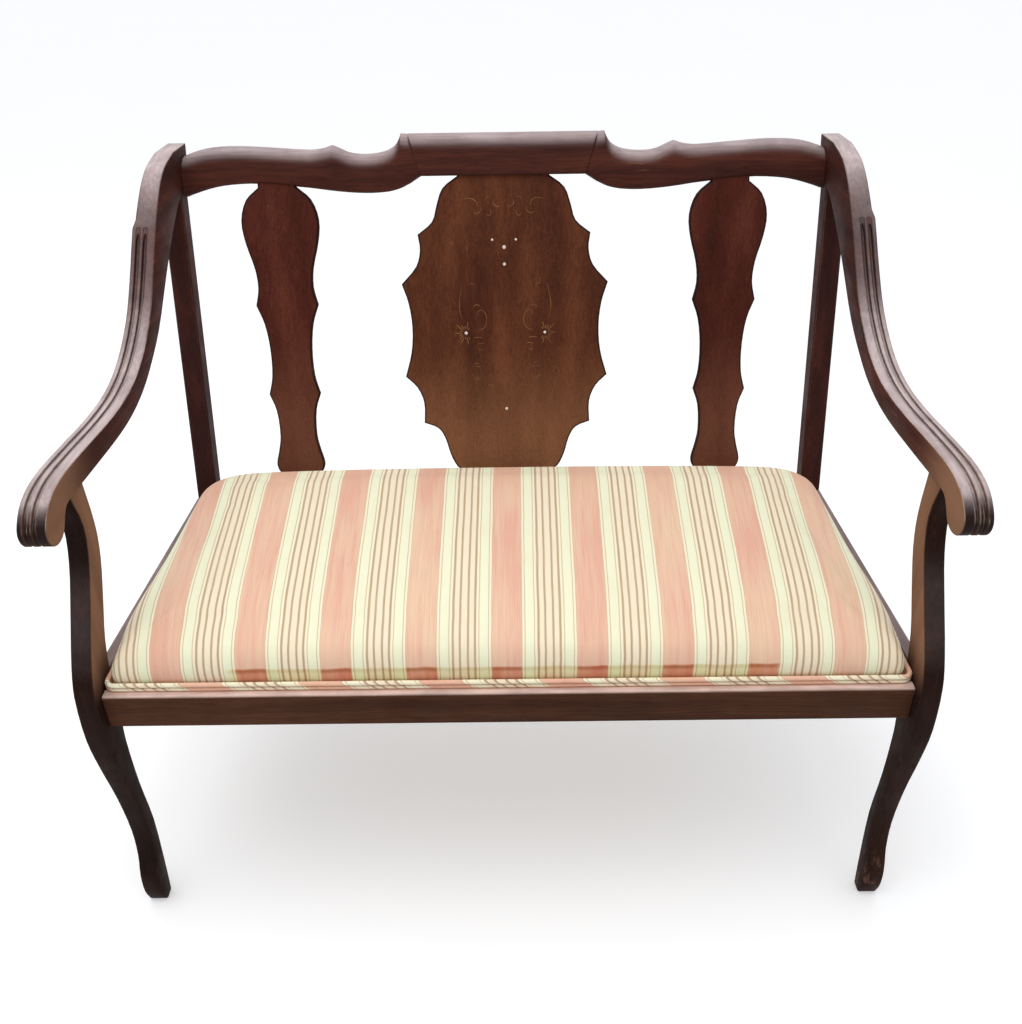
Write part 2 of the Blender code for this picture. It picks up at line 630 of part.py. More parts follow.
def join_seat_frame(legs, posts, front, back, sides):
    """Mortise and tenon joints where the rails meet the legs and the posts."""
    low, high = RAIL_BOTTOM + TENON_SHOULDER, SEAT_HEIGHT - REBATE_DEPTH - TENON_SHOULDER
    half = TENON_THICKNESS / 2
    for label, side in SIDES:
        toward = (0, -side)
        face = SEAT_WIDTH / 2 - GAP
        reach = sorted((side * face, side * (face + TENON_LENGTH)))
        middle = RAIL_THICKNESS / 2
        tenon(front, legs[label], (reach[0], middle - half, low), (reach[1], middle + half, high), toward)
        face = BACK_WIDTH / 2 - GAP
        reach = sorted((side * face, side * (face + TENON_LENGTH)))
        middle = SEAT_DEPTH + BACK_LIP_THICKNESS - TENON_THICKNESS / 2 - BACK_TENON_MARGIN
        tenon(back, posts[label], (reach[0], middle - half, low), (reach[1], middle + half, high), toward)
        rail = sides[label]
        x = side * (side_face(LEG_REAR) - SIDE_RAIL_THICKNESS / 2)
        start, end = LEG_REAR + GAP, SEAT_DEPTH - GAP
        tenon(rail, legs[label], (x - half, start - TENON_LENGTH, low), (x + half, start, high), (1, 1))
        x = side * (side_face(SEAT_DEPTH) - SIDE_RAIL_THICKNESS / 2)
        tenon(rail, posts[label], (x - half, end, low), (x + half, end + TENON_LENGTH, high), (1, -1))


def join_arms(legs, posts, arms):
    """A dowel between each leg and its arm, and a tenon from each post up into the arm's shoulder."""
    for label, side in SIDES:
        x, y = side * LEG_MIDDLE, LEG_TOP_MIDDLE
        low, high = ARM_LEVEL - DOWEL_LENGTH / 2, ARM_LEVEL + DOWEL_LENGTH / 2
        spot = Matrix.Translation((x, y, 0))
        name = "arm_dowel_" + label
        add(name, round_mesh(name, DOWEL_RADIUS, low, high, DOWEL_SIDES), FRAME_WOOD, spot)
        bore = round_mesh(name, DOWEL_RADIUS + GAP, low - GAP, high + GAP, DOWEL_SIDES)
        hole = add(name + "_bore", bore, None, spot)
        combine(legs[label], hole, "DIFFERENCE")
        combine(arms[label], hole, "DIFFERENCE")
        middle = POST_HEAD_Y + POST_DEPTH / 2
        half = TENON_THICKNESS / 2
        narrowing = shoulder_narrowing(POST_TOP + POST_TENON_RISE)
        x = side * (arm_middle(middle) + ARM_WIDTH / 2 - narrowing - POST_TENON_MARGIN - half)
        top = POST_TOP - GAP
        low = (x - half, middle - half, top)
        high = (x + half, middle + half, POST_TOP + POST_TENON_RISE)
        tenon(posts[label], arms[label], low, high, (2, -1))


def mirrored(half):
    """Whole outline from its right half, listed from the lower middle to the upper middle."""
    return half + [(-x, y) for x, y in reversed(half)]


def crest_tablet():
    """Raised middle of the crest: a flat front, a rounded top edge and ends that slope outward."""
    (low_x, low_y), (high_x, high_y) = TABLET
    face, rear = TABLET_PROUD, -CREST_THICKNESS - TABLET_BEHIND
    section = [(face, low_y)]
    section += corner_arc(face - TABLET_ROUND_DEPTH, high_y - TABLET_ROUND_HEIGHT, TABLET_ROUND_DEPTH, 0.0,
                          CREST_TOP_STEPS, TABLET_ROUND_HEIGHT)
    section += [(rear, high_y), (rear, low_y)]
    mesh = board_mesh("crest_tablet", section, 2 * low_x * CREST_STRETCH)
    flare = (high_x / low_x - 1) / (high_y - low_y)
    reshape(mesh, lambda p: (p.z * (1 + flare * (p.y - low_y)), p.y + POST_HEAD_RISE, p.x))
    tablet = add("crest_tablet", mesh, None, BACK_PLANE)
    ease(tablet, TABLET_EDGE)
    return tablet


def height_at(run, x):
    """Height of a run of points, listed from the middle outward, at a distance from the middle."""
    for (x0, y0), (x1, y1) in zip(run, run[1:]):
        if x <= x1:
            return y0 + (y1 - y0) * (x - x0) / (x1 - x0)
    return run[-1][1]


def crest_section(x, low, high):
    """Ring round the crest at one place along it: a front that rolls back to the top, and eased edges."""
    face, rear = CREST_THICKNESS / 2, -CREST_THICKNESS / 2
    edge = CREST_BACK_EDGE
    top_depth, top_height = CREST_TOP_ROUND_DEPTH, CREST_TOP_ROUND_HEIGHT
    foot_depth, foot_height = CREST_FOOT_ROUND_DEPTH, CREST_FOOT_ROUND_HEIGHT
    ring = corner_arc(face - top_depth, high - top_height, top_depth, 0.0, CREST_TOP_STEPS, top_height)
    ring += corner_arc(rear + edge, high - edge, edge, math.pi / 2, 1)
    ring += corner_arc(rear + edge, low + edge, edge, math.pi, 1)
    ring += corner_arc(face - foot_depth, low + foot_height, foot_depth, 1.5 * math.pi, CREST_FOOT_STEPS,
                       foot_height)
    return [(x, height, depth) for depth, height in ring]


def bar_mesh(name, rings):
    """Bar through rings of equal count, with flat ends."""
    mesh = bpy.data.meshes.new(name)
    work = bmesh.new()
    loops = [[work.verts.new(point) for point in ring] for ring in rings]
    count = len(loops[0])
    for start, end in zip(loops, loops[1:]):
        for i in range(count):
            j = (i + 1) % count
            work.faces.new((start[i], start[j], end[j], end[i]))
    work.faces.new(loops[0])
    work.faces.new(loops[-1])
    bmesh.ops.recalc_face_normals(work, faces=work.faces)
    work.to_mesh(mesh)
    work.free()
    return mesh


def crest_rail(arms):
    end = SHOULDER_SPAN / 2

    def up(points):
        return [(x * CREST_STRETCH, y + POST_HEAD_RISE) for x, y in points]

    under = flow([(end, CREST_END_UNDER + POST_HEAD_RISE)] + up(CREST_UNDER)) + up(CREST_CORE_UNDER)
    under.reverse()
    wing = flow(up(CREST_WING) + [(end, CREST_END_OVER + POST_HEAD_RISE)])
    over = chain(up(CREST_CORE_OVER), flow(up(CREST_OVER)), wing)
    half = [crest_section(x, height_at(under, x), high) for x, high in over]
    other = [[(-x, y, z) for x, y, z in ring] for ring in half[:0:-1]]
    mesh = bar_mesh("crest_rail", other + half)

    def fit_end(p):
        """End points lie along the arm's inner face."""
        if abs(p.x) < end - MERGE_DISTANCE:
            return p
        y = (BACK_PLANE @ Vector((0, p.y, p.z - CREST_THICKNESS / 2))).y
        return (math.copysign(arm_middle(y) - ARM_WIDTH / 2 - GAP, p.x), p.y, p.z)

    reshape(mesh, fit_end)
    frame = BACK_PLANE @ Matrix.Translation((0, 0, -CREST_THICKNESS / 2))
    crest = add("crest_rail", mesh, MAHOGANY, frame)
    combine(crest, crest_tablet(), "UNION")
    middle = POST_HEAD_RISE + (CREST_END_UNDER + CREST_END_OVER) / 2
    half_height, half = CREST_TENON_HEIGHT / 2, TENON_THICKNESS / 2
    for label, side in SIDES:
        root = arm_middle(POST_HEAD_Y + CREST_THICKNESS) - ARM_WIDTH / 2 - UNION_OVERLAP
        reach = sorted((side * root, side * (end + CREST_TENON_LENGTH)))
        low = (reach[0], middle - half_height, -half)
        high = (reach[1], middle + half_height, half)
        tenon(crest, arms[label], low, high, (0, -side), frame)
    return crest


def splat(name, middle, lower, middle_low, middle_high, upper, waist, tongue_half, crest, rail):
    """A shaped board between the back rail's lip and the crest, with a tongue in each.

    Its waist keeps its length, and the shapes above and below it share what is left of the height.
    """
    drawn = middle_low[-1][1] - middle_high[0][1]
    stretch = (POST_HEAD_RISE - BACK_LIP_UP - waist) / drawn

    def from_rail(points):
        return [(x, y * stretch + BACK_LIP_UP) for x, y in points]

    def from_head(points):
        return [(x, y * (stretch if y < 0 else 1) + POST_HEAD_RISE) for x, y in points]

    foot = BACK_LIP_UP - SPLAT_TONGUE
    head = POST_HEAD_RISE + upper[-1][-1][1] + SPLAT_TONGUE
    runs = [flow(from_rail(run)) for run in lower]
    runs.append(flow(from_rail(middle_low) + from_head(middle_high)))
    runs += [flow(from_head(run)) for run in upper]
    half = chain([(tongue_half, foot)], *runs, [(tongue_half, head)])
    frame = BACK_PLANE @ Matrix.Translation((middle, 0, -SPLAT_SETBACK - SPLAT_THICKNESS / 2))
    piece = add(name, board_mesh(name, mirrored(half), SPLAT_THICKNESS), SPLAT_WOOD, frame)
    round_faces(piece, SPLAT_EDGE)
    deep = SPLAT_THICKNESS / 2 + GAP
    wide = tongue_half + GAP
    slot_top = box_mesh(name, (-wide, head - SPLAT_TONGUE - SLOT_MOUTH, -deep), (wide, head + GAP, deep))
    combine(crest, add(name + "_crest_slot", slot_top, None, frame), "DIFFERENCE")
    slot_foot = box_mesh(name, (-wide, foot - GAP, -deep), (wide, foot + SPLAT_TONGUE + SLOT_MOUTH, deep))
    combine(rail, add(name + "_rail_slot", slot_foot, None, frame), "DIFFERENCE")
    return piece


def screw_profile_mesh(name, grow, head_room):
    """Half profile of a countersunk screw along Z, its seat at z = 0, ready to be turned."""
    head, shank = SCREW_HEAD_RADIUS + grow, SCREW_RADIUS + grow
    tip = -(SCREW_GRIP + SCREW_BITE) - grow
    profile = [(0, head_room), (head, head_room), (head, 0), (shank, -SCREW_HEAD_HEIGHT),
               (shank, tip + SCREW_POINT), (0, tip)]
    mesh = bpy.data.meshes.new(name)
    mesh.from_pydata([(x, 0, z) for x, z in profile], [(i, i + 1) for i in range(len(profile) - 1)], [])
    return mesh


def turned(piece, sides):
    step = piece.modifiers.new("turned", "SCREW")
    step.axis = "Z"
    step.steps = sides
    step.render_steps = sides
    step.use_merge_vertices = True
    step.merge_threshold = MERGE_DISTANCE


def block_screw(name, seat, direction, block, rail):
    """A screw from a corner block into a rail, its head sunk in the block's long face."""
    turn = Vector(direction).to_track_quat("-Z", "Y").to_matrix().to_4x4()
    frame = Matrix.Translation(seat) @ turn
    screw = add(name, screw_profile_mesh(name, 0.0, GAP), STEEL, frame)
    turned(screw, SCREW_SIDES)
    hole = add(name + "_hole", screw_profile_mesh(name, GAP, CORNER_BLOCK_LEG), None, frame)
    turned(hole, SCREW_SIDES)
    combine(block, hole, "DIFFERENCE")
    combine(rail, hole, "DIFFERENCE")


def corner_block(end_label, label, side, end_face, inward, end_rail, side_piece):
    """Glued and screwed block in a corner of the seat frame; inward is the y sign into the seat."""

    def rail_inside(y):
        return side_face(y) - SIDE_RAIL_THICKNESS - GAP

    y0 = end_face + inward * GAP
    y1 = y0 + inward * CORNER_BLOCK_LEG
    x0 = rail_inside(y0)
    outline = [(side * x0, y0), (side * (x0 - CORNER_BLOCK_LEG), y0), (side * rail_inside(y1), y1)]
    name = f"corner_block_{end_label}_{label}"
    level = CORNER_BLOCK_TOP - CORNER_BLOCK_HEIGHT / 2
    mesh = board_mesh(name, outline, CORNER_BLOCK_HEIGHT)
    block = add(name, mesh, FRAME_WOOD, Matrix.Translation((0, 0, level)))
    seat = (side * (x0 - SCREW_OFFSET), y0 + inward * SCREW_GRIP, level + SCREW_STAGGER)
    block_screw(f"screw_{end_label}_{label}_end", seat, (0, -inward, 0), block, end_rail)
    seat = (side * (x0 - SCREW_GRIP), y0 + inward * SCREW_OFFSET, level - SCREW_STAGGER)
    block_screw(f"screw_{end_label}_{label}_side", seat, (side, 0, 0), block, side_piece)


def webbing():
    """Straps from front to back, then straps from side to side lying over them, then the hessian."""
    low = SEAT_HEIGHT - REBATE_DEPTH + GAP
    inner_back = side_face(SEAT_DEPTH) - SIDE_RAIL_THICKNESS
    pitch = 2 * inner_back / CROSS_STRAPS
    clear = RAIL_EDGE + GAP
    ends = (REBATE_LEDGE + clear, SEAT_DEPTH - clear)
    half = STRAP_WIDTH / 2
    for i in range(CROSS_STRAPS):
        x = (i + 0.5) * pitch - inner_back
        name = f"webbing_front_to_back_{i + 1}"
        add(name, box_mesh(name, (x - half, ends[0], low), (x + half, ends[1], low + STRAP_THICKNESS)), JUTE)
    low += STRAP_THICKNESS + GAP
    bay = (BACK_RAIL_FRONT - RAIL_THICKNESS) / LONG_STRAPS
    for i in range(LONG_STRAPS):
        y = RAIL_THICKNESS + (i + 0.5) * bay
        reach = side_face(y + half) - REBATE_LEDGE - clear
        name = f"webbing_side_to_side_{i + 1}"
        add(name, box_mesh(name, (-reach, y - half, low), (reach, y + half, low + STRAP_THICKNESS)), JUTE)
    low += STRAP_THICKNESS + GAP
    front = min(side_face(ends[0]) - REBATE_LEDGE, SEAT_WIDTH / 2) - clear
    back = side_face(ends[1]) - REBATE_LEDGE - clear
    outline = [(-front, ends[0]), (front, ends[0]), (back, ends[1]), (-back, ends[1])]
    level = Matrix.Translation((0, 0, low + HESSIAN_THICKNESS / 2))
    add("hessian", board_mesh("hessian", outline, HESSIAN_THICKNESS), HESSIAN, level)


def corner_arc(x, y, radius, start, steps, tall=None):
    """Quarter turn about a corner's centre, counted from its starting angle; oval if it has a tall radius."""
    turn = [start + math.pi / 2 * i / steps for i in range(steps + 1)]
    return [(x + radius * math.cos(a), y + (tall or radius) * math.sin(a)) for a in turn]


def pad_overhang(y):
    """How far the pad's side stands out over the side rail, behind the front leg."""
    along = (y - LEG_REAR - PAD_OVERHANG_START) / PAD_OVERHANG_LENGTH
    along = min(max(along, 0.0), 1.0)
    return PAD_OVERHANG * math.sin(math.pi * along ** PAD_OVERHANG_LEAN) ** 2


def pad_plan(inset, shrink):
    """Plan of the seat pad at one level: points anticlockwise from the front's left corner.

    The inset draws the front in most, the steeper sides and back less, and rounds the corners more.
    The shrink moves the whole plan in.
    """
    front, back = PAD_FRONT + inset + shrink, PAD_BACK - PAD_BACK_STEEPNESS * inset - shrink
    room = PAD_CORNER_SHARE * (back - front)
    front_radius = min(PAD_FRONT_RADIUS + PAD_RADIUS_GROWTH * inset - shrink, room)
    back_radius = min(PAD_BACK_RADIUS + PAD_RADIUS_GROWTH * inset - shrink, room)
    drawn_in = PAD_SIDE_STEEPNESS * inset + shrink
    half_front, half_back = PAD_HALF_FRONT - drawn_in, PAD_HALF_BACK - drawn_in
    front_x, front_y = half_front - front_radius, front + front_radius
    back_x, back_y = half_back - back_radius, back - back_radius
    corners = [corner_arc(-front_x, front_y, front_radius, math.pi, PAD_FRONT_STEPS),
               corner_arc(front_x, front_y, front_radius, 1.5 * math.pi, PAD_FRONT_STEPS),
               corner_arc(back_x, back_y, back_radius, 0.0, PAD_BACK_STEPS),
               corner_arc(-back_x, back_y, back_radius, 0.5 * math.pi, PAD_BACK_STEPS)]
    even = [k / PAD_ENDWAYS_SPANS for k in range(1, PAD_ENDWAYS_SPANS)]
    shares = (even, PAD_SIDE_SHARES, even, [1 - share for share in reversed(PAD_SIDE_SHARES)])
    plan = []
    for i, corner in enumerate(corners):
        plan += corner
        start, end = Vector(corner[-1]), Vector(corners[(i + 1) % 4][0])
        plan += [tuple(start.lerp(end, share)) for share in shares[i]]
    return [(x * (1 + pad_overhang(y) / PAD_HALF_FRONT), y) for x, y in plan]


def loft(name, rings, surface):
    """Closed skin through rings of equal count, drawn in to a point at both ends.

    Every facet's diagonal climbs the same way round, so that skins laid one in another keep their distance.
    """
    mesh = bpy.data.meshes.new(name)
    work = bmesh.new()
    loops = [[work.verts.new(point) for point in ring] for ring in rings]
    count = len(loops[0])
    for start, end in zip(loops, loops[1:]):
        lower, upper = sorted((start, end), key=lambda ring: ring[0].co.z)
        for i in range(count):
            j = (i + 1) % count
            work.faces.new((lower[i], lower[j], upper[j]))
            work.faces.new((lower[i], upper[j], upper[i]))
    for ring in (loops[0], loops[-1]):
        middle = sum((point.co for point in ring), Vector()) / count
        middle.z = max(point.co.z for point in ring)
        tip = work.verts.new(middle)
        for i in range(count):
            work.faces.new((ring[i], ring[(i + 1) % count], tip))
    bmesh.ops.recalc_face_normals(work, faces=work.faces)
    work.to_mesh(mesh)
    work.free()
    return add(name, mesh, surface)


def pad_rings(shrink):
    """Rings of the pad's surface from its foot line to its crown, moved in by a distance.

    Above the shoulder of its profile the pad is swollen, most in the middle of its width.
    """
    rise = [(0.0, PAD_FOOT), (0.0, WELT_TOP + GAP)]
    rise += [(inset, WELT_TOP + height) for inset, height in PAD_PROFILE]
    rings = []
    for inset, level in rise:
        z = max(level - shrink, PAD_FOOT)
        lift = PAD_SWELL * min(max(level - WELT_TOP - GAP, 0.0) / PAD_SHOULDER, 1.0)
        spread = [min(abs(x) / PAD_HALF_FRONT, 1.0) for x, y in pad_plan(inset, 0.0)]
        swell = [lift * (1 - share ** PAD_SWELL_POWER) for share in spread]
        rings.append([(x, y, z + up) for (x, y), up in zip(pad_plan(inset, shrink), swell)])
    return rings


def seat_pad():
    loft("seat_stuffing", pad_rings(COVER_THICKNESS + GAP), HAIR)
    loft("seat_cover", pad_rings(COVER_THICKNESS)[::-1] + pad_rings(0.0), CLOTH)


def double_welt():
    """Two cords in one strip of cloth, laid round the foot of the seat cover."""
    section = bpy.data.curves.new("welt_section", "CURVE")
    section.dimensions = "2D"
    lobe = section.splines.new("POLY")
    meet = math.asin(CORD_SPACING / 2 / CORD_RADIUS)
    sweep = math.pi + 2 * meet
    points = []
    for i in range(CORD_STEPS + 1):
        a = math.pi - meet + sweep * i / CORD_STEPS
        points.append((CORD_RADIUS * math.cos(a), CORD_RADIUS + CORD_RADIUS * math.sin(a)))
    for i in range(1, CORD_STEPS):
        a = -meet + sweep * i / CORD_STEPS
        points.append((CORD_RADIUS * math.cos(a), CORD_RADIUS + CORD_SPACING + CORD_RADIUS * math.sin(a)))
    points.reverse()
    lobe.points.add(len(points) - 1)
    for point, (x, y) in zip(lobe.points, points):
        point.co = (x, y, 0.0, 1.0)
    lobe.use_cyclic_u = True
    guide = add("welt_section", section, None)
    path = bpy.data.curves.new("double_welt", "CURVE")
    path.dimensions = "3D"
    path.twist_mode = "Z_UP"
    path.bevel_mode = "OBJECT"
    path.bevel_object = guide
    route = path.splines.new("POLY")
    plan = pad_plan(0.0, -CORD_RADIUS - GAP)
    route.points.add(len(plan) - 1)
    for point, (x, y) in zip(route.points, plan):
        point.co = (x, y, PAD_FOOT, 1.0)
    route.use_cyclic_u = True
    add("double_welt", path, WELT_CLOTH)


def settle_origin():
    """Bring the bottom centre of the finished settee to the origin."""
    bpy.context.view_layer.update()
    depsgraph = bpy.context.evaluated_depsgraph_get()
    points = []
    for piece in PARTS.objects:
        if piece.type != "EMPTY":
            shape = piece.evaluated_get(depsgraph)
            points += [shape.matrix_world @ point.co for point in shape.to_mesh().vertices]
            shape.to_mesh_clear()
    middle = [(min(p[i] for p in points) + max(p[i] for p in points)) / 2 for i in range(2)]
    ROOT.location = (-middle[0], -middle[1], -min(p.z for p in points))
    bpy.context.view_layer.update()


def build():
    legs = {label: front_leg(label, side) for label, side in SIDES}
    posts = {label: back_post(label, side) for label, side in SIDES}
    arms = {label: arm(label, side) for label, side in SIDES}
    sides = {label: side_rail(label, side) for label, side in SIDES}
    front, back = front_rail(), back_rail()
    join_seat_frame(legs, posts, front, back, sides)
    join_arms(legs, posts, arms)
    cross_rail(front, back)
    crest = crest_rail(arms)
    splat("center_splat", 0.0, CENTER_LOWER, CENTER_MIDDLE_LOW, CENTER_MIDDLE_HIGH, CENTER_UPPER,
          CENTER_WAIST, CENTER_TONGUE_HALF, crest, back)
    for label, side in SIDES:
        splat("splat_" + label, side * SPLAT_SPREAD * CREST_STRETCH, SIDE_LOWER, SIDE_MIDDLE_LOW,
              SIDE_MIDDLE_HIGH, SIDE_UPPER, SIDE_WAIST, SIDE_TONGUE_HALF, crest, back)
        corner_block("front", label, side, RAIL_THICKNESS, 1, front, sides[label])
        corner_block("back", label, side, BACK_RAIL_FRONT, -1, back, sides[label])
    webbing()
    seat_pad()
    double_welt()
    settle_origin()


build()
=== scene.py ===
"""Dresses the two-seat settee: wood, striped upholstery, welt, inlay, light and camera."""

import json
import math

import bmesh
import bpy
from mathutils import Matrix, Vector, noise

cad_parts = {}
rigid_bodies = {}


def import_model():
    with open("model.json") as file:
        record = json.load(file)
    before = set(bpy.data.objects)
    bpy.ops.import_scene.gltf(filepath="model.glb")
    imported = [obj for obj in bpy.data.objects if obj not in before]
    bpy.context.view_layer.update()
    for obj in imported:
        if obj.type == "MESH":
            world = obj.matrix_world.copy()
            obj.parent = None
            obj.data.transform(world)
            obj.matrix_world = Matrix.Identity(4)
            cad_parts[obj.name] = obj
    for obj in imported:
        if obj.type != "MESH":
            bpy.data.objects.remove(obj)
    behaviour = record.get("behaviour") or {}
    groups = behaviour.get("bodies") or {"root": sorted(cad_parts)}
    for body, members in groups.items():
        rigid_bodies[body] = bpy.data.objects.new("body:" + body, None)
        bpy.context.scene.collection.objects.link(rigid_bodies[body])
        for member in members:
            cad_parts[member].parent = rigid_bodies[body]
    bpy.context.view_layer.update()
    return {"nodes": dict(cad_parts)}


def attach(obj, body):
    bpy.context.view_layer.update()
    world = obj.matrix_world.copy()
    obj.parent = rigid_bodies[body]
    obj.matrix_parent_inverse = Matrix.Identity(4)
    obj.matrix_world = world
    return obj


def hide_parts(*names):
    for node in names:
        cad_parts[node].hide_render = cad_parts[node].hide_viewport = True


# Camera, for a picture of 1022 by 1024: place in metres, angles in degrees.
CAMERA_PLACE = (0.0164, -1.2299, 1.2881)
CAMERA_YAW = -0.5
CAMERA_PITCH = 33.282
CAMERA_ROLL = 0.985
CAMERA_LENS = 36.0
CAMERA_SENSOR = 36.0

# Key lamp: place and aim in metres, size, power and colour.
KEY_LAMP = {"place": (-0.5, -0.5, 2.9), "aim": (0.0, 0.0, 0.4), "width": 2.4, "height": 2.0, "power": 30.0,
            "colour": (1.0, 0.98, 0.96)}

# Floor: half its width, and how much it is lifted where it is seen.
FLOOR_REACH = 30
FLOOR_LIFT = 0.30

# Shading of the solids: points closer than this are one, and edges sharper than this stay edges.
WELD_DISTANCE = 0.00002
SHARP_ANGLE = math.radians(32)

# Seat pad, as in the solids: plan, corner radii, levels, and the profile from foot to crown.
PAD_FRONT = -0.2840
PAD_BACK = 0.1560
PAD_HALF_FRONT = 0.4954
PAD_HALF_BACK = 0.4813
PAD_FRONT_RADIUS = 0.008
PAD_BACK_RADIUS = 0.045
PAD_RADIUS_GROWTH = 0.25
PAD_CORNER_SHARE = 0.45
PAD_BACK_STEEPNESS = 0.4
PAD_SIDE_STEEPNESS = 0.7
PAD_FOOT = 0.4103
WELT_TOP = 0.4220
PAD_PROFILE = ((0.0, 0.005), (-0.001, 0.011), (0.001, 0.018), (0.006, 0.026), (0.016, 0.035), (0.034, 0.043),
               (0.064, 0.0495), (0.108, 0.054), (0.160, 0.057), (0.200, 0.058))

# How far the pad's sides stand out over the side rails, where that starts, and over what length.
PAD_OVERHANG = 0.0065
PAD_OVERHANG_START = -0.2492
PAD_OVERHANG_LENGTH = 0.235
PAD_OVERHANG_LEAN = 0.6
PAD_SWELL = 0.009
PAD_SHOULDER = 0.026

# Stuffing of the pad: how much smaller it starts, its points along each side and corner, the voxel size, the
# steps of the simulation, the most a point may travel and sink, and what is held above the welt's top.
PAD_START = 0.002
PAD_SPANS = (90, 40, 90, 40)
PAD_CORNER_STEPS = 8
PAD_RISE_STEPS = 4
PAD_VOXEL = 0.006
PAD_FRAMES = 20
PAD_CAP = 0.005
PAD_SINK = 0.0005
PAD_HELD = 0.002
PAD_SMOOTHING = 0.5
CLOTH = {"quality": 5, "mass": 0.3, "tension_stiffness": 15, "compression_stiffness": 15,
         "bending_stiffness": 0.6, "use_pressure": True, "uniform_pressure_force": 4.0}

# Double welt: two cords in one strip of cloth, how unevenly they are filled along and up, and how narrow the
# painted shade is where the cords meet.
CORD_RADIUS = 0.0031
CORD_SPACING = 0.0055
CORD_STEPS = 10
CORD_CLEARANCE = 0.0003
WELT_SPANS = (180, 80, 180, 80)
WELT_CORNER_STEPS = 10
WELT_PUFF = 0.05
WELT_PUFF_ALONG = 55
WELT_PUFF_UP = 180
WELT_PUFF_SEED = 3.0
WELT_WRAP = 1.5
WELT_VALLEY_SHADE = 6

# Tacked edge under the welt: its section outwards and up from the pad's foot, and how much further it reaches
# at the sides, behind the front legs.
TACKED_REACH = 0.0035
TACKED_FROM = -0.19
TACKED_SECTION = ((-0.006, -0.00025), (0.006, -0.00025), (0.006, -0.00005), (-0.006, -0.00005))

# Plane of the back's splats: a point on the seat line, the rake, and how far the splats lie behind it.
BACK_POINT = (0.0, 0.1628, 0.410)
BACK_RAKE = math.radians(13.4)
SPLAT_SETBACK = 0.004

# Striped cloth: the repeat in metres, the share by which the stripes draw together towards the back, how far
# in from the sides they turn down, over what width, over what width they follow the overhang, and the twill.
STRIPE_REPEAT = 0.1053
STRIPE_FAN = 0.085
STRIPE_EDGE = 0.012
STRIPE_TURN = 0.016
SIDE_EASE = 0.05
TWILL = 0.0016

# Water stain on the pad's front: the height of its upper edge and how much that waves, its two ends, and
# where it starts to show as the pad turns forwards.
STAIN_TOP = 0.4385
STAIN_WAVE = 0.006
STAIN_LEFT = (-0.352, -0.335)
STAIN_RIGHT = (0.345, 0.325)
STAIN_FRONT = (-0.255, -0.272)


def srgb(red, green, blue):
    """Linear colour of a red, green and blue given from 0 to 255."""
    parts = [value / 255 for value in (red, green, blue)]
    return tuple(v / 12.92 if v <= 0.04045 else ((v + 0.055) / 1.055) ** 2.4 for v in parts) + (1.0,)


PINK = srgb(238, 193, 165)
CREAM = srgb(253, 243, 212)
PALE = srgb(246, 246, 212)
LINE = srgb(206, 184, 146)
BROWN = srgb(192, 165, 130)
BLUSH = srgb(250, 235, 205)
# Bands from the middle of a pink stripe to the middle of the next gap: where each ends, and its colour.
STRIPES = ((0.352, PINK), (0.364, LINE), (0.416, CREAM), (0.436, LINE), (0.640, PALE), (0.660, LINE),
           (0.716, CREAM), (0.770, BROWN), (0.880, BLUSH), (0.930, BROWN), (1.0, BLUSH))
STRIPE_SOFTNESS = 0.009


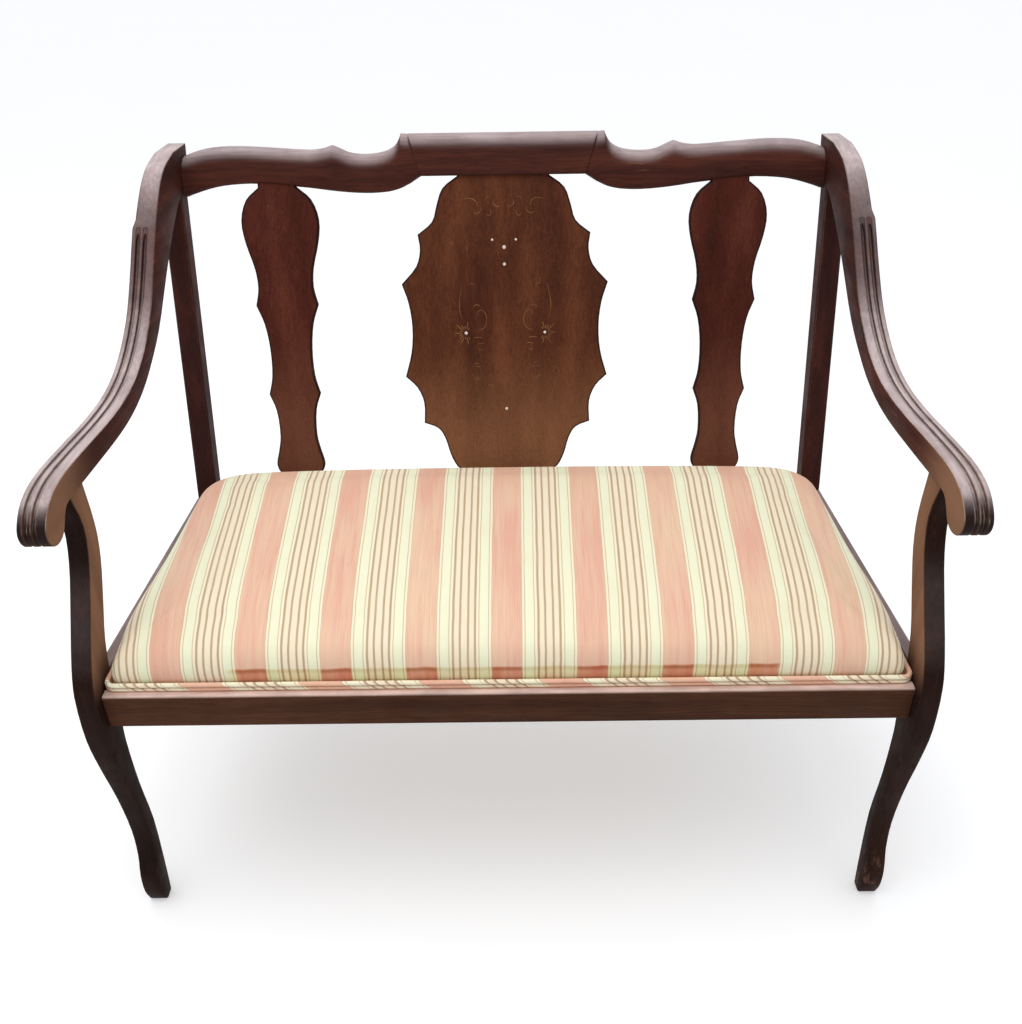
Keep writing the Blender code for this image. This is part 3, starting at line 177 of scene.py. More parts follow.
class Graph:
    """A material's nodes, with short ways to add and join them."""

    def __init__(self, name):
        self.material = bpy.data.materials.new(name)
        self.material.use_nodes = True
        self.nodes = self.material.node_tree.nodes
        self.links = self.material.node_tree.links
        self.shader = self.nodes["Principled BSDF"]

    def put(self, socket, value):
        if isinstance(value, bpy.types.NodeSocket):
            self.links.new(value, socket)
        else:
            socket.default_value = value

    def node(self, kind, inputs=(), **settings):
        made = self.nodes.new(kind)
        for key, value in settings.items():
            setattr(made, key, value)
        for key, value in dict(inputs).items():
            self.put(made.inputs[key], value)
        return made

    def place(self):
        return self.node("ShaderNodeTexCoord").outputs["Object"]

    def axis(self, vector, name):
        return self.node("ShaderNodeSeparateXYZ", {"Vector": vector}).outputs[name]

    def sum(self, operation, *values):
        made = self.node("ShaderNodeMath", operation=operation)
        for socket, value in zip(made.inputs, values):
            self.put(socket, value)
        return made.outputs[0]

    def times(self, first, second):
        return self.sum("MULTIPLY", first, second)

    def attribute(self, name):
        return self.node("ShaderNodeAttribute", attribute_name=name).outputs["Fac"]

    def scale(self, vector, factors):
        return self.node("ShaderNodeVectorMath", {0: vector, 1: factors}, operation="MULTIPLY").outputs[0]

    def shift(self, vector, by):
        return self.node("ShaderNodeVectorMath", {0: vector, 1: by}, operation="ADD").outputs[0]

    def noise(self, vector, scale, detail=3.0, roughness=0.5):
        made = self.node("ShaderNodeTexNoise", {"Vector": vector, "Scale": scale, "Detail": detail,
                                                "Roughness": roughness})
        return made.outputs["Fac"]

    def span(self, value, low, high, start=0.0, end=1.0):
        """Value carried from the range low to high onto start to end, held at both ends."""
        inputs = {"Value": value, "From Min": low, "From Max": high, "To Min": start, "To Max": end}
        return self.node("ShaderNodeMapRange", inputs, interpolation_type="SMOOTHSTEP").outputs["Result"]

    def ramp(self, value, stops):
        made = self.node("ShaderNodeValToRGB", {"Fac": value})
        elements = made.color_ramp.elements
        while len(elements) < len(stops):
            elements.new(1.0)
        for element, (position, colour) in zip(elements, stops):
            element.position = position
            element.color = colour
        return made.outputs["Color"]

    def mix(self, factor, first, second, blend="MIX"):
        made = self.node("ShaderNodeMix", data_type="RGBA", blend_type=blend)
        self.put(made.inputs[0], factor)
        self.put(made.inputs[6], first)
        self.put(made.inputs[7], second)
        return made.outputs[2]

    def bump(self, height, strength, distance, normal=None):
        inputs = {"Height": height, "Strength": strength, "Distance": distance}
        if normal is not None:
            inputs["Normal"] = normal
        return self.node("ShaderNodeBump", inputs).outputs["Normal"]

    def finish(self, **sockets):
        """Set the shader's sockets, named with underscores for spaces."""
        for key, value in sockets.items():
            self.put(self.shader.inputs[key.replace("_", " ")], value)
        return self.material


def stretched(axis, along):
    """Factors that draw a pattern out along one axis."""
    factors = [1.0, 1.0, 1.0]
    factors["XYZ".index(axis)] = along
    return tuple(factors)


def edge_wear(g, place):
    """How worn a spot is: strong where the surface turns over an edge, broken up in patches."""
    rounded = g.node("ShaderNodeBevel", {"Radius": WEAR_RADIUS}, samples=4).outputs["Normal"]
    straight = g.node("ShaderNodeNewGeometry").outputs["Normal"]
    agree = g.node("ShaderNodeVectorMath", {0: rounded, 1: straight}, operation="DOT_PRODUCT")
    turned = g.span(agree.outputs["Value"], 0.995, 0.86)
    patches = g.span(g.noise(place, 34.0, 5.0, 0.65), 0.34, 0.60)
    return g.times(turned, patches)


# Mahogany: a painted sheen on the faces that look up, in place of the sky's reflection; bare wood on worn
# edges, which on edges that look up also serves as painted highlight; painted shade, dark rims and scratches.
# Painted sheen colours, in place of the sky's reflection on the faces that look up.
PAINTED_SHEEN = srgb(196, 178, 178)
ARM_PAINTED_SHEEN = srgb(214, 196, 194)
LEDGE_PAINTED_SHEEN = srgb(240, 208, 194)
# Pale bare wood on worn edges, which is also the painted highlight on edges that look up.
WORN_AND_HIGHLIGHT = srgb(226, 204, 184)
# Painted shade colour for the faces that look forwards.
PAINTED_SHADE = srgb(18, 10, 9)
RIM = srgb(22, 11, 8)
SCRATCH = srgb(150, 108, 92)
BACK_FACING = (0.0, -math.cos(BACK_RAKE), math.sin(BACK_RAKE))
ARRIS = 0.0035
HOLLOW = 0.013
WEAR_RADIUS = 0.0020
WEAR_FADE = 0.08


def mahogany(name, grain, tones, painted_sheen=0.85, painted_sheen_colour=PAINTED_SHEEN, painted_sheen_from=0.36, wear=0.5, wear_below=None,
             specular=0.12, figure_size=40.0, clouds=0.25, scuff=None, fade=None, painted_bounce=None, painted_shade=None,
             dark_edges=False, shaded_hollows=True):
    """Old polished mahogany with its grain along one axis.

    It has dark pores, scratches, a painted sheen in place of the sky's reflection on the faces that look up,
    painted shade in its hollows and rubbed edges. Painted sheen from is how far up a face has to look to have
    it.
    Wear below is the height above which no edge is rubbed.
    Scuff is the height below which the right-hand foot is knocked.
    Fade gives two heights and a colour towards which the wood pales between them.
    Painted bounce gives an axis, two places on it and a colour for the faces that look towards the middle of
    the
    seat: painted bounce light from the cloth, which comes in between the places.
    Painted shade gives two places in Y between which the faces that look forwards are painted almost black.
    Dark edges are for the splats, whose rims are blackened. Without shaded hollows, no shade is painted in
    them.
    """
    g = Graph(name)
    place = g.place()
    drift = g.node("ShaderNodeTexNoise", {"Vector": place, "Scale": 9.0, "Detail": 2.0}).outputs["Color"]
    drift = g.scale(g.shift(drift, (-0.5, -0.5, -0.5)), (0.018, 0.018, 0.018))
    warped = g.shift(place, drift)
    figure = g.noise(g.scale(warped, stretched(grain, 0.03)), figure_size, 3.0, 0.5)
    fibre = g.noise(g.scale(warped, stretched(grain, 0.02)), 320.0, 3.0, 0.6)
    pore = g.noise(g.scale(place, stretched(grain, 0.03)), 1300.0, 2.0, 0.5)
    cloud = g.noise(place, 5.5, 3.0, 0.5)
    tone = g.sum("ADD", g.times(figure, 0.66), g.times(fibre, 0.34))
    tone = g.sum("ADD", tone, g.times(g.sum("SUBTRACT", cloud, 0.5), clouds))
    colour = g.ramp(tone, tuple(zip((0.30, 0.50, 0.70), tones)))
    if fade is not None:
        high, low, pale = fade
        gone = g.span(g.axis(place, "Z"), high, low)
        colour = g.mix(g.times(gone, g.span(tone, 0.25, 0.7, 0.60, 1.0)), colour, pale)
    sunk = g.span(pore, 0.36, 0.46)
    colour = g.mix(1.0, colour, g.ramp(sunk, ((0.0, (0.70, 0.66, 0.64, 1)), (1.0, (1, 1, 1, 1)))), "MULTIPLY")
    facing = g.node("ShaderNodeBevel", {"Radius": ARRIS}, samples=6).outputs["Normal"]
    hollow = g.node("ShaderNodeAmbientOcclusion", {"Distance": HOLLOW}, samples=6, only_local=True)
    hollow = hollow.outputs["AO"]
    open_air = g.span(hollow, 0.55, 0.85)
    # Painted bounce light: faces that look towards the middle of the seat pale to a warm brown, as if lit
    # from the cloth.
    if painted_bounce is not None:
        axis, start, full, painted_bounce_colour = painted_bounce
        inward = g.times(g.axis(facing, "X"), g.sum("SIGN", g.axis(place, "X")))
        inward = g.times(g.span(inward, -0.45, -0.85), open_air)
        reach = g.span(g.axis(place, axis), start, full)
        mottle = g.span(figure, 0.3, 0.7, 0.75, 1.0)
        colour = g.mix(g.times(g.times(inward, reach), mottle), colour, painted_bounce_colour)
    brushed = g.span(g.noise(g.scale(place, stretched(grain, 0.05)), 210.0, 4.0, 0.7), 0.25, 0.75, 0.66, 1.0)
    patchy = g.span(g.noise(place, 17.0, 3.0, 0.55), 0.35, 0.65, 0.75, 1.0)
    # Painted sheen: faces that look up pale towards a mauve grey in place of the sky's reflection.
    sheen = g.times(g.span(g.axis(facing, "Z"), painted_sheen_from, 0.93, 0.0, painted_sheen),
                  g.times(brushed, patchy))
    colour = g.mix(sheen, colour, painted_sheen_colour)
    # Painted shade: faces that look forwards, at the front of the arms' scrolls, turn almost black.
    if painted_shade is not None:
        ahead = g.span(g.axis(facing, "Y"), -0.45, -0.85)
        ahead = g.times(ahead, g.span(g.axis(place, "Y"), *painted_shade))
        colour = g.mix(g.times(ahead, 0.85), colour, PAINTED_SHADE)
    # Painted shade: hollows, grooves and inner corners darken almost to black by occlusion.
    if shaded_hollows:
        hollow_shade = g.ramp(hollow, ((0.42, (0.06, 0.04, 0.04, 1)), (0.84, (1, 1, 1, 1))))
        colour = g.mix(1.0, colour, hollow_shade, "MULTIPLY")
    # Edge wear, kept mostly to edges that look up, where its pale colour is also a painted highlight.
    upward_wear_and_highlight = g.span(g.axis(facing, "Z"), 0.05, 0.45, 0.15, 1.0)
    if wear_below is not None:
        low = g.span(g.axis(place, "Z"), wear_below - WEAR_FADE, wear_below, 1.0, 0.0)
        upward_wear_and_highlight = g.times(upward_wear_and_highlight, low)
    rubbed_and_highlit = g.times(g.times(edge_wear(g, place), open_air), g.times(upward_wear_and_highlight, wear))
    colour = g.mix(rubbed_and_highlit, colour, WORN_AND_HIGHLIGHT)
    if dark_edges:
        front = g.node("ShaderNodeVectorMath", {0: facing, 1: BACK_FACING}, operation="DOT_PRODUCT")
        rim = g.span(g.sum("ABSOLUTE", front.outputs["Value"]), 0.985, 0.80, 0.0, 0.85)
        colour = g.mix(rim, colour, RIM)
    scratch = g.noise(g.scale(place, stretched(grain, 0.06)), 150.0, 4.0, 0.7)
    scratches = g.times(g.span(scratch, 0.66, 0.73), g.span(cloud, 0.45, 0.6))
    if scuff is not None:
        low = g.span(g.axis(place, "Z"), scuff, 0.0)
        side = g.span(g.axis(place, "X"), 0.0, 0.4)
        knocks = g.span(g.noise(g.scale(place, (1.0, 1.0, 0.35)), 95.0, 4.0, 0.7), 0.52, 0.64)
        knocks = g.times(g.times(low, side), knocks)
        scratches = g.sum("MAXIMUM", scratches, knocks)
    colour = g.mix(g.times(scratches, 0.35), colour, SCRATCH)
    haze = g.span(g.noise(place, 26.0, 4.0, 0.6), 0.3, 0.7, 0.26, 0.42)
    flank = g.span(g.axis(facing, "Z"), 0.65, 0.25, 0.0, 0.30)
    roughness = g.sum("ADD", g.sum("ADD", haze, flank), g.times(rubbed_and_highlit, 0.2))
    relief = g.sum("ADD", g.times(sunk, 0.5), g.times(fibre, 0.5))
    normal = g.bump(relief, 0.12, 0.0008, facing)
    return g.finish(Base_Color=colour, Roughness=roughness, Normal=normal, Specular_IOR_Level=specular)


def plain_wood(name, grain, dark, light):
    """Unpolished frame wood with flecks and soiled patches."""
    g = Graph(name)
    place = g.place()
    figure = g.noise(g.scale(place, stretched(grain, 0.08)), 60.0, 5.0, 0.6)
    fleck = g.span(g.noise(g.scale(place, stretched(grain, 0.2)), 420.0, 2.0), 0.6, 0.68)
    colour = g.mix(figure, dark, light)
    colour = g.mix(g.times(fleck, 0.5), colour, srgb(120, 82, 48))
    soiled = g.span(g.noise(place, 11.0, 5.0, 0.65), 0.45, 0.75)
    colour = g.mix(g.times(soiled, 0.45), colour, srgb(92, 70, 48))
    roughness = g.span(figure, 0.3, 0.7, 0.58, 0.78)
    return g.finish(Base_Color=colour, Roughness=roughness, Normal=g.bump(figure, 0.25, 0.001))


def woven(name, first, second, thread, gap):
    """Plain weave of coarse threads in two directions."""
    g = Graph(name)
    place = g.place()
    x, y = g.axis(place, "X"), g.axis(place, "Y")
    uneven = g.times(g.sum("SUBTRACT", g.noise(place, 140.0, 2.0), 0.5), thread * 0.7)
    warp = g.sum("SINE", g.times(g.sum("ADD", x, uneven), math.pi / thread))
    weft = g.sum("SINE", g.times(g.sum("ADD", y, uneven), math.pi / thread))
    over = g.times(warp, weft)
    height = g.span(over, -0.8, 0.8)
    holes = g.span(g.sum("ADD", g.sum("ABSOLUTE", warp), g.sum("ABSOLUTE", weft)), 0.0, gap)
    colour = g.mix(height, first, second)
    fibres = g.noise(place, 700.0, 3.0, 0.7)
    colour = g.mix(g.span(fibres, 0.3, 0.75, 0.0, 0.5), colour, second)
    colour = g.mix(holes, srgb(58, 42, 26), colour)
    roughness = g.span(fibres, 0.2, 0.8, 0.8, 0.98)
    return g.finish(Base_Color=colour, Roughness=roughness, Normal=g.bump(height, 0.6, 0.0006),
                    Sheen_Weight=0.2)


def steel(name):
    """Old wood screws: dull steel with brown spots."""
    g = Graph(name)
    place = g.place()
    spots = g.span(g.noise(place, 600.0, 4.0, 0.7), 0.5, 0.62)
    colour = g.mix(spots, srgb(128, 124, 116), srgb(96, 62, 40))
    roughness = g.span(spots, 0.0, 1.0, 0.34, 0.75)
    metal = g.span(spots, 0.0, 1.0, 1.0, 0.2)
    return g.finish(Base_Color=colour, Roughness=roughness, Metallic=metal,
                    Normal=g.bump(g.noise(place, 900.0, 3.0), 0.2, 0.0003))


def hair(name):
    """Curled hair filling."""
    g = Graph(name)
    place = g.place()
    strands = g.noise(g.scale(place, (1.0, 1.0, 3.0)), 420.0, 6.0, 0.75)
    colour = g.ramp(strands, ((0.35, srgb(38, 28, 22)), (0.6, srgb(92, 72, 54))))
    return g.finish(Base_Color=colour, Roughness=g.span(strands, 0.3, 0.7, 0.7, 0.95),
                    Normal=g.bump(strands, 0.8, 0.002))


def stripe_colours(g, across):
    """Colours of the striped cloth by the distance across its warp, in metres."""
    half = STRIPE_REPEAT / 2
    turn = g.sum("DIVIDE", g.sum("PINGPONG", across, half), half)
    stops = [(0.0, STRIPES[0][1])]
    for (end, colour), (_, following) in zip(STRIPES, STRIPES[1:]):
        stops += [(end - STRIPE_SOFTNESS, colour), (end + STRIPE_SOFTNESS, following)]
    stops.append((1.0, STRIPES[-1][1]))
    return g.ramp(turn, stops), turn


def cloth_finish(g, colour, turn, across, along):
    """Warp streaks, slubs and a fine twill on top of the stripe colours.

    Gives the colour, the relief, and how much of each spot is pink.
    """
    pair = g.node("ShaderNodeCombineXYZ", {"X": across, "Y": along}).outputs["Vector"]
    in_pink = g.span(turn, 0.365, 0.335)
    broad = g.noise(g.scale(pair, (1.0, 0.05, 1.0)), 130.0, 3.0, 0.6)
    fine = g.noise(g.scale(pair, (1.0, 0.012, 1.0)), 900.0, 3.0, 0.7)
    dyed = g.noise(g.scale(pair, (1.0, 0.3, 1.0)), 11.0, 2.0, 0.5)
    warmth = g.sum("ADD", g.times(broad, 0.5), g.times(dyed, 0.5))
    rose = g.times(g.span(warmth, 0.48, 0.62), g.times(in_pink, 0.75))
    colour = g.mix(rose, colour, srgb(234, 172, 150))
    gold = g.times(g.span(warmth, 0.52, 0.38), g.times(in_pink, 0.85))
    colour = g.mix(gold, colour, srgb(240, 204, 170))
    dark_streak = g.span(fine, 0.48, 0.28)
    amount = g.times(dark_streak, g.sum("ADD", g.times(in_pink, 0.42), 0.08))
    colour = g.mix(amount, colour, srgb(204, 144, 108))
    light_streak = g.times(g.span(fine, 0.55, 0.75), 0.35)
    colour = g.mix(light_streak, colour, srgb(252, 230, 204))
    rib = g.sum("SINE", g.times(g.sum("ADD", across, along), 2 * math.pi / TWILL))
    float_thread = g.sum("SINE", g.times(across, 2 * math.pi / (TWILL * 0.6)))
    weave = g.sum("ADD", g.times(rib, 0.5), g.times(float_thread, 0.5))
    fuzz = g.noise(pair, 1500.0, 2.0, 0.6)
    colour = g.mix(g.span(weave, -1.0, 0.2, 0.10, 0.0), colour, srgb(150, 116, 92))
    return colour, g.sum("ADD", g.times(weave, 0.6), g.times(fuzz, 0.4)), in_pink


def striped_cloth(name):
    """Seat cover: stripes from front to back, and an old water stain along the front's foot."""
    g = Graph(name)
    place = g.place()
    across = g.attribute("across")
    along = g.attribute("along")
    wander = g.sum("SUBTRACT", g.noise(g.scale(place, (1.0, 0.25, 1.0)), 60.0, 2.0), 0.5)
    across = g.sum("ADD", across, g.times(wander, 0.0014))
    colour, turn = stripe_colours(g, across)
    colour, relief, in_pink = cloth_finish(g, colour, turn, across, along)
    patchy = g.noise(place, 14.0, 4.0, 0.6)
    colour = g.mix(g.span(patchy, 0.45, 0.75, 0.0, 0.16), colour, srgb(228, 208, 168))
    x, y, z = (g.axis(place, axis) for axis in "XYZ")
    # Painted shade: the pinks darken towards the back of the seat.
    rear_shade = g.times(g.span(y, 0.0, 0.13, 0.0, 0.6), in_pink)
    colour = g.mix(rear_shade, colour, srgb(226, 172, 142))
    uneven = g.sum("SUBTRACT", g.noise(g.scale(place, (1.0, 0.0, 0.0)), 24.0, 3.0), 0.5)
    depth = g.sum("SUBTRACT", g.sum("ADD", STAIN_TOP, g.times(uneven, STAIN_WAVE)), z)
    under = g.span(depth, -0.0010, 0.0012)
    reach = g.times(g.span(x, *STAIN_LEFT), g.span(x, *STAIN_RIGHT))
    forward = g.span(y, *STAIN_FRONT)
    stain = g.times(g.times(under, reach), forward)
    blotch = g.span(g.noise(g.scale(place, (1.0, 0.3, 0.3)), 55.0, 4.0, 0.65), 0.35, 0.65, 0.65, 1.0)
    wet = g.times(stain, blotch)
    reddened = g.mix(g.span(g.noise(place, 30.0, 3.0), 0.4, 0.6), srgb(230, 172, 132), srgb(232, 156, 132))
    colour = g.mix(g.times(wet, g.times(in_pink, 0.85)), colour, reddened, "MULTIPLY")
    yellowed = g.times(wet, g.times(g.sum("SUBTRACT", 1.0, in_pink), 0.60))
    colour = g.mix(yellowed, colour, srgb(240, 230, 180), "MULTIPLY")
    fringe = g.times(g.span(depth, -0.0010, 0.0030), g.span(depth, 0.0090, 0.0035))
    tide = g.times(g.times(stain, fringe), g.sum("ADD", g.times(in_pink, 0.45), 0.25))
    colour = g.mix(tide, colour, srgb(190, 156, 112), "MULTIPLY")
    roughness = g.span(relief, -0.5, 0.9, 0.90, 0.68)
    return g.finish(Base_Color=colour, Roughness=roughness, Normal=g.bump(relief, 0.30, 0.0004),
                    Sheen_Weight=0.15, Sheen_Roughness=0.5, Specular_IOR_Level=0.3)


def welt_cloth(name):
    """The same cloth cut on the bias round the cords, so that its stripes run across them aslant."""
    g = Graph(name)
    along = g.attribute("along")
    around = g.attribute("around")
    root = math.sqrt(0.5)
    across = g.times(g.sum("ADD", along, around), root)
    other = g.times(g.sum("SUBTRACT", along, around), root)
    colour, turn = stripe_colours(g, across)
    colour, relief, in_pink = cloth_finish(g, colour, turn, across, other)
    colour = g.mix(g.times(in_pink, 0.35), colour, srgb(244, 186, 156))
    pale_part = g.times(g.span(turn, 0.425, 0.445), g.span(turn, 0.660, 0.640))
    colour = g.mix(g.times(pale_part, 0.65), colour, CREAM)
    # Painted shade in the seam between the two cords and over the tacked edge under them.
    valley = g.attribute("valley")
    colour = g.mix(g.times(valley, 0.55), colour, srgb(186, 122, 92), "MULTIPLY")
    soiled = g.span(g.noise(g.place(), 48.0, 4.0, 0.6), 0.50, 0.72, 0.0, 0.25)
    colour = g.mix(soiled, colour, srgb(226, 192, 156), "MULTIPLY")
    roughness = g.span(relief, -0.5, 0.9, 0.88, 0.66)
    return g.finish(Base_Color=colour, Roughness=roughness, Normal=g.bump(relief, 0.4, 0.0004),
                    Sheen_Weight=0.15, Sheen_Roughness=0.5, Specular_IOR_Level=0.3)


def pearl(name):
    """Mother of pearl dots: pale, with patches of grey, pink and green."""
    g = Graph(name)
    place = g.place()
    sheet = g.noise(g.scale(place, (1.0, 1.0, 0.4)), 420.0, 3.0, 0.6)
    colour = g.ramp(sheet, ((0.30, srgb(192, 190, 176)), (0.48, srgb(230, 214, 198)),
                            (0.62, srgb(214, 214, 200)), (0.75, srgb(234, 204, 188))))
    return g.finish(Base_Color=colour, Roughness=g.span(sheet, 0.3, 0.7, 0.16, 0.32), Coat_Weight=0.5,
                    Coat_Roughness=0.08, Normal=g.bump(sheet, 0.1, 0.0002))


def satinwood(name, first, second):
    """Thin inlaid lines of a paler wood, partly worn dark."""
    g = Graph(name)
    place = g.place()
    worn = g.span(g.noise(place, 60.0, 4.0, 0.65), 0.38, 0.62)
    grain = g.noise(g.scale(place, (1.0, 1.0, 0.1)), 500.0, 3.0, 0.6)
    colour = g.mix(worn, first, second)
    colour = g.mix(g.span(grain, 0.4, 0.7, 0.0, 0.3), colour, first)
    return g.finish(Base_Color=colour, Roughness=g.span(grain, 0.3, 0.7, 0.50, 0.65), Specular_IOR_Level=0.1,
                    Normal=g.bump(grain, 0.1, 0.0003))


def smooth_faces(mesh):
    for face in mesh.polygons:
        face.use_smooth = True


def bridge(work, loops):
    """Quads between each closed loop of points and the next."""
    count = len(loops[0])
    for lower, upper in zip(loops, loops[1:]):
        for i in range(count):
            j = (i + 1) % count
            work.faces.new((lower[i], lower[j], upper[j], upper[i]))


def made_mesh(work, name):
    mesh = bpy.data.meshes.new(name)
    work.to_mesh(mesh)
    work.free()
    return mesh


def dress(names, surface):
    """Give CAD nodes a finish and smooth shading that keeps their true edges."""
    for name in names:
        piece = frame["nodes"][name]
        for slot in piece.material_slots:
            slot.material = surface
        stored = piece.data.attributes
        for shading in ("custom_normal", "sharp_edge"):
            if shading in stored:
                stored.remove(stored[shading])
        smooth_faces(piece.data)
        weld = piece.modifiers.new("weld", "WELD")
        weld.merge_threshold = WELD_DISTANCE
        split = piece.modifiers.new("split", "EDGE_SPLIT")
        split.split_angle = SHARP_ANGLE


def mesh_piece(name, mesh, surface):
    """A new piece of the settee with the finish it is given, fixed to the root body."""
    piece = bpy.data.objects.new(name, mesh)
    bpy.context.scene.collection.objects.link(piece)
    piece.data.materials.append(surface)
    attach(piece, "root")
    return piece


def smooth_curve(points, steps):
    """Points on a smooth curve through the given ones, ends included."""
    points = [Vector(point) for point in points]
    points = [2 * points[0] - points[1]] + points + [2 * points[-1] - points[-2]]
    made = []
    for a, b, c, d in zip(points, points[1:], points[2:], points[3:]):
        for i in range(steps):
            t = i / steps
            made.append(0.5 * (2 * b + (c - a) * t + (2 * a - 5 * b + 4 * c - d) * t ** 2
                               + (3 * b - a - 3 * c + d) * t ** 3))
    return made + [points[-2]]


def pad_overhang(y):
    """How far the pad's side stands out over the side rail, behind the front leg."""
    along = min(max((y - PAD_OVERHANG_START) / PAD_OVERHANG_LENGTH, 0.0), 1.0)
    return PAD_OVERHANG * math.sin(math.pi * along ** PAD_OVERHANG_LEAN) ** 2


def pad_plan(inset, shrink, spans=PAD_SPANS, steps=PAD_CORNER_STEPS):
    """Plan of the pad at one level: points anticlockwise from the front's left corner."""
    front, back = PAD_FRONT + inset + shrink, PAD_BACK - PAD_BACK_STEEPNESS * inset - shrink
    room = PAD_CORNER_SHARE * (back - front)
    front_radius = min(PAD_FRONT_RADIUS + PAD_RADIUS_GROWTH * inset - shrink, room)
    back_radius = min(PAD_BACK_RADIUS + PAD_RADIUS_GROWTH * inset - shrink, room)
    drawn_in = PAD_SIDE_STEEPNESS * inset + shrink
    front_x, front_y = PAD_HALF_FRONT - drawn_in - front_radius, front + front_radius
    back_x, back_y = PAD_HALF_BACK - drawn_in - back_radius, back - back_radius
    centres = ((-front_x, front_y, front_radius, 1.0), (front_x, front_y, front_radius, 1.5),
               (back_x, back_y, back_radius, 0.0), (-back_x, back_y, back_radius, 0.5))
    corners = []
    for x, y, radius, start in centres:
        turn = [math.pi * (start + 0.5 * i / steps) for i in range(steps + 1)]
        corners.append([Vector((x + radius * math.cos(a), y + radius * math.sin(a))) for a in turn])
    plan = []
    for i, corner in enumerate(corners):
        plan += corner
        following = corners[(i + 1) % 4][0]
        plan += [corner[-1].lerp(following, k / spans[i]) for k in range(1, spans[i])]
    return [Vector((p.x * (1 + pad_overhang(p.y) / PAD_HALF_FRONT), p.y)) for p in plan]


def pad_mesh():
    """Closed form of the pad, a little smaller than its cover, before it is stuffed."""
    rise = [(0.0, PAD_FOOT), (0.0, WELT_TOP)]
    rise += [(inset, WELT_TOP + height) for inset, height in PAD_PROFILE]
    work = bmesh.new()
    loops = []
    for inset, level in smooth_curve(rise, PAD_RISE_STEPS):
        lift = PAD_SWELL * min(max(level - WELT_TOP, 0.0) / PAD_SHOULDER, 1.0)
        loop = []
        for point in pad_plan(inset, PAD_START):
            up = lift * (1 - min(abs(point.x / PAD_HALF_FRONT), 1.0) ** 3)
            z = max(level + up - PAD_START, PAD_FOOT)
            loop.append(work.verts.new((point.x, point.y, z)))
        loops.append(loop)
    bridge(work, loops)
    work.faces.new(loops[0][::-1])
    work.faces.new(loops[-1])
    bmesh.ops.triangulate(work, faces=[face for face in work.faces if len(face.verts) > 4])
    return made_mesh(work, "seat_upholstery")


def apply_modifiers(piece):
    """Leave the piece with the mesh that its modifiers make, and no modifiers."""
    bpy.context.view_layer.update()
    shape = piece.evaluated_get(bpy.context.evaluated_depsgraph_get())
    mesh = bpy.data.meshes.new_from_object(shape)
    piece.modifiers.clear()
    piece.data = mesh


def stuff(piece):
    """Swell the pad by cloth simulation, held along its foot.

    Each point's travel is capped, and the stuffing keeps it from sinking in.
    """
    remesh = piece.modifiers.new("remesh", "REMESH")
    remesh.mode = "VOXEL"
    remesh.voxel_size = PAD_VOXEL
    even = piece.modifiers.new("even", "SMOOTH")
    even.factor = PAD_SMOOTHING
    even.iterations = 4
    apply_modifiers(piece)
    start = [point.co.copy() for point in piece.data.vertices]
    outward = [point.normal.copy() for point in piece.data.vertices]
    held = piece.vertex_groups.new(name="held")
    held.add([i for i, point in enumerate(start) if point.z < WELT_TOP + PAD_HELD], 1.0, "REPLACE")
    cloth = piece.modifiers.new("cloth", "CLOTH")
    for key, value in CLOTH.items():
        setattr(cloth.settings, key, value)
    cloth.settings.effector_weights.gravity = 0.0
    cloth.settings.vertex_group_mass = "held"
    cloth.collision_settings.use_collision = False
    cloth.point_cache.frame_start = 1
    cloth.point_cache.frame_end = PAD_FRAMES
    for step in range(1, PAD_FRAMES + 1):
        bpy.context.scene.frame_set(step)
    apply_modifiers(piece)
    bpy.context.scene.frame_set(1)
    for point, before, out in zip(piece.data.vertices, start, outward):
        moved = point.co - before
        moved += out * max(-PAD_SINK - moved.dot(out), 0.0)
        if moved.length > PAD_CAP:
            moved *= PAD_CAP / moved.length
        point.co = before + moved
    settle = piece.modifiers.new("settle", "SMOOTH")
    settle.factor = PAD_SMOOTHING
    settle.iterations = 3
    finer = piece.modifiers.new("finer", "SUBSURF")
    finer.levels = finer.render_levels = 1
    apply_modifiers(piece)
    smooth_faces(piece.data)


def lay_stripes(mesh):
    """Keep, at each point, the distance across and along the cloth that covers it."""
    across = mesh.attributes.new("across", "FLOAT", "POINT")
    along = mesh.attributes.new("along", "FLOAT", "POINT")
    depth = PAD_BACK - PAD_FRONT
    for i, point in enumerate(mesh.vertices):
        x, y, z = point.co
        back = min(max((y - PAD_FRONT) / depth, 0.0), 1.0)
        edge = PAD_HALF_FRONT + (PAD_HALF_BACK - PAD_HALF_FRONT) * back - STRIPE_EDGE
        outer = min(max((abs(x) - edge + SIDE_EASE) / SIDE_EASE, 0.0), 1.0)
        x -= math.copysign(pad_overhang(y) * outer, x)
        over = max(abs(x) - edge, 0.0) / STRIPE_TURN
        below = max(WELT_TOP + PAD_SHOULDER - z, 0.0)
        drop = below * min(over, 1.0)
        across.data[i].value = (x + math.copysign(drop, x)) * (1 - STRIPE_FAN * back)
        along.data[i].value = y - below


def upholstery(surface):
    """The stuffed seat in its striped cover."""
    piece = mesh_piece("seat_upholstery", pad_mesh(), surface)
    stuff(piece)
    lay_stripes(piece.data)
    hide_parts("seat_stuffing", "seat_cover")


def welt_path():
    """Middle line of the welt, evenly spaced, from the back's middle round to it again."""
    plan = pad_plan(0.0, -CORD_RADIUS - CORD_CLEARANCE, WELT_SPANS, WELT_CORNER_STEPS)
    first = min(range(len(plan)), key=lambda i: abs(plan[i].x) - plan[i].y)
    return plan[first:] + plan[:first] + [plan[first]]


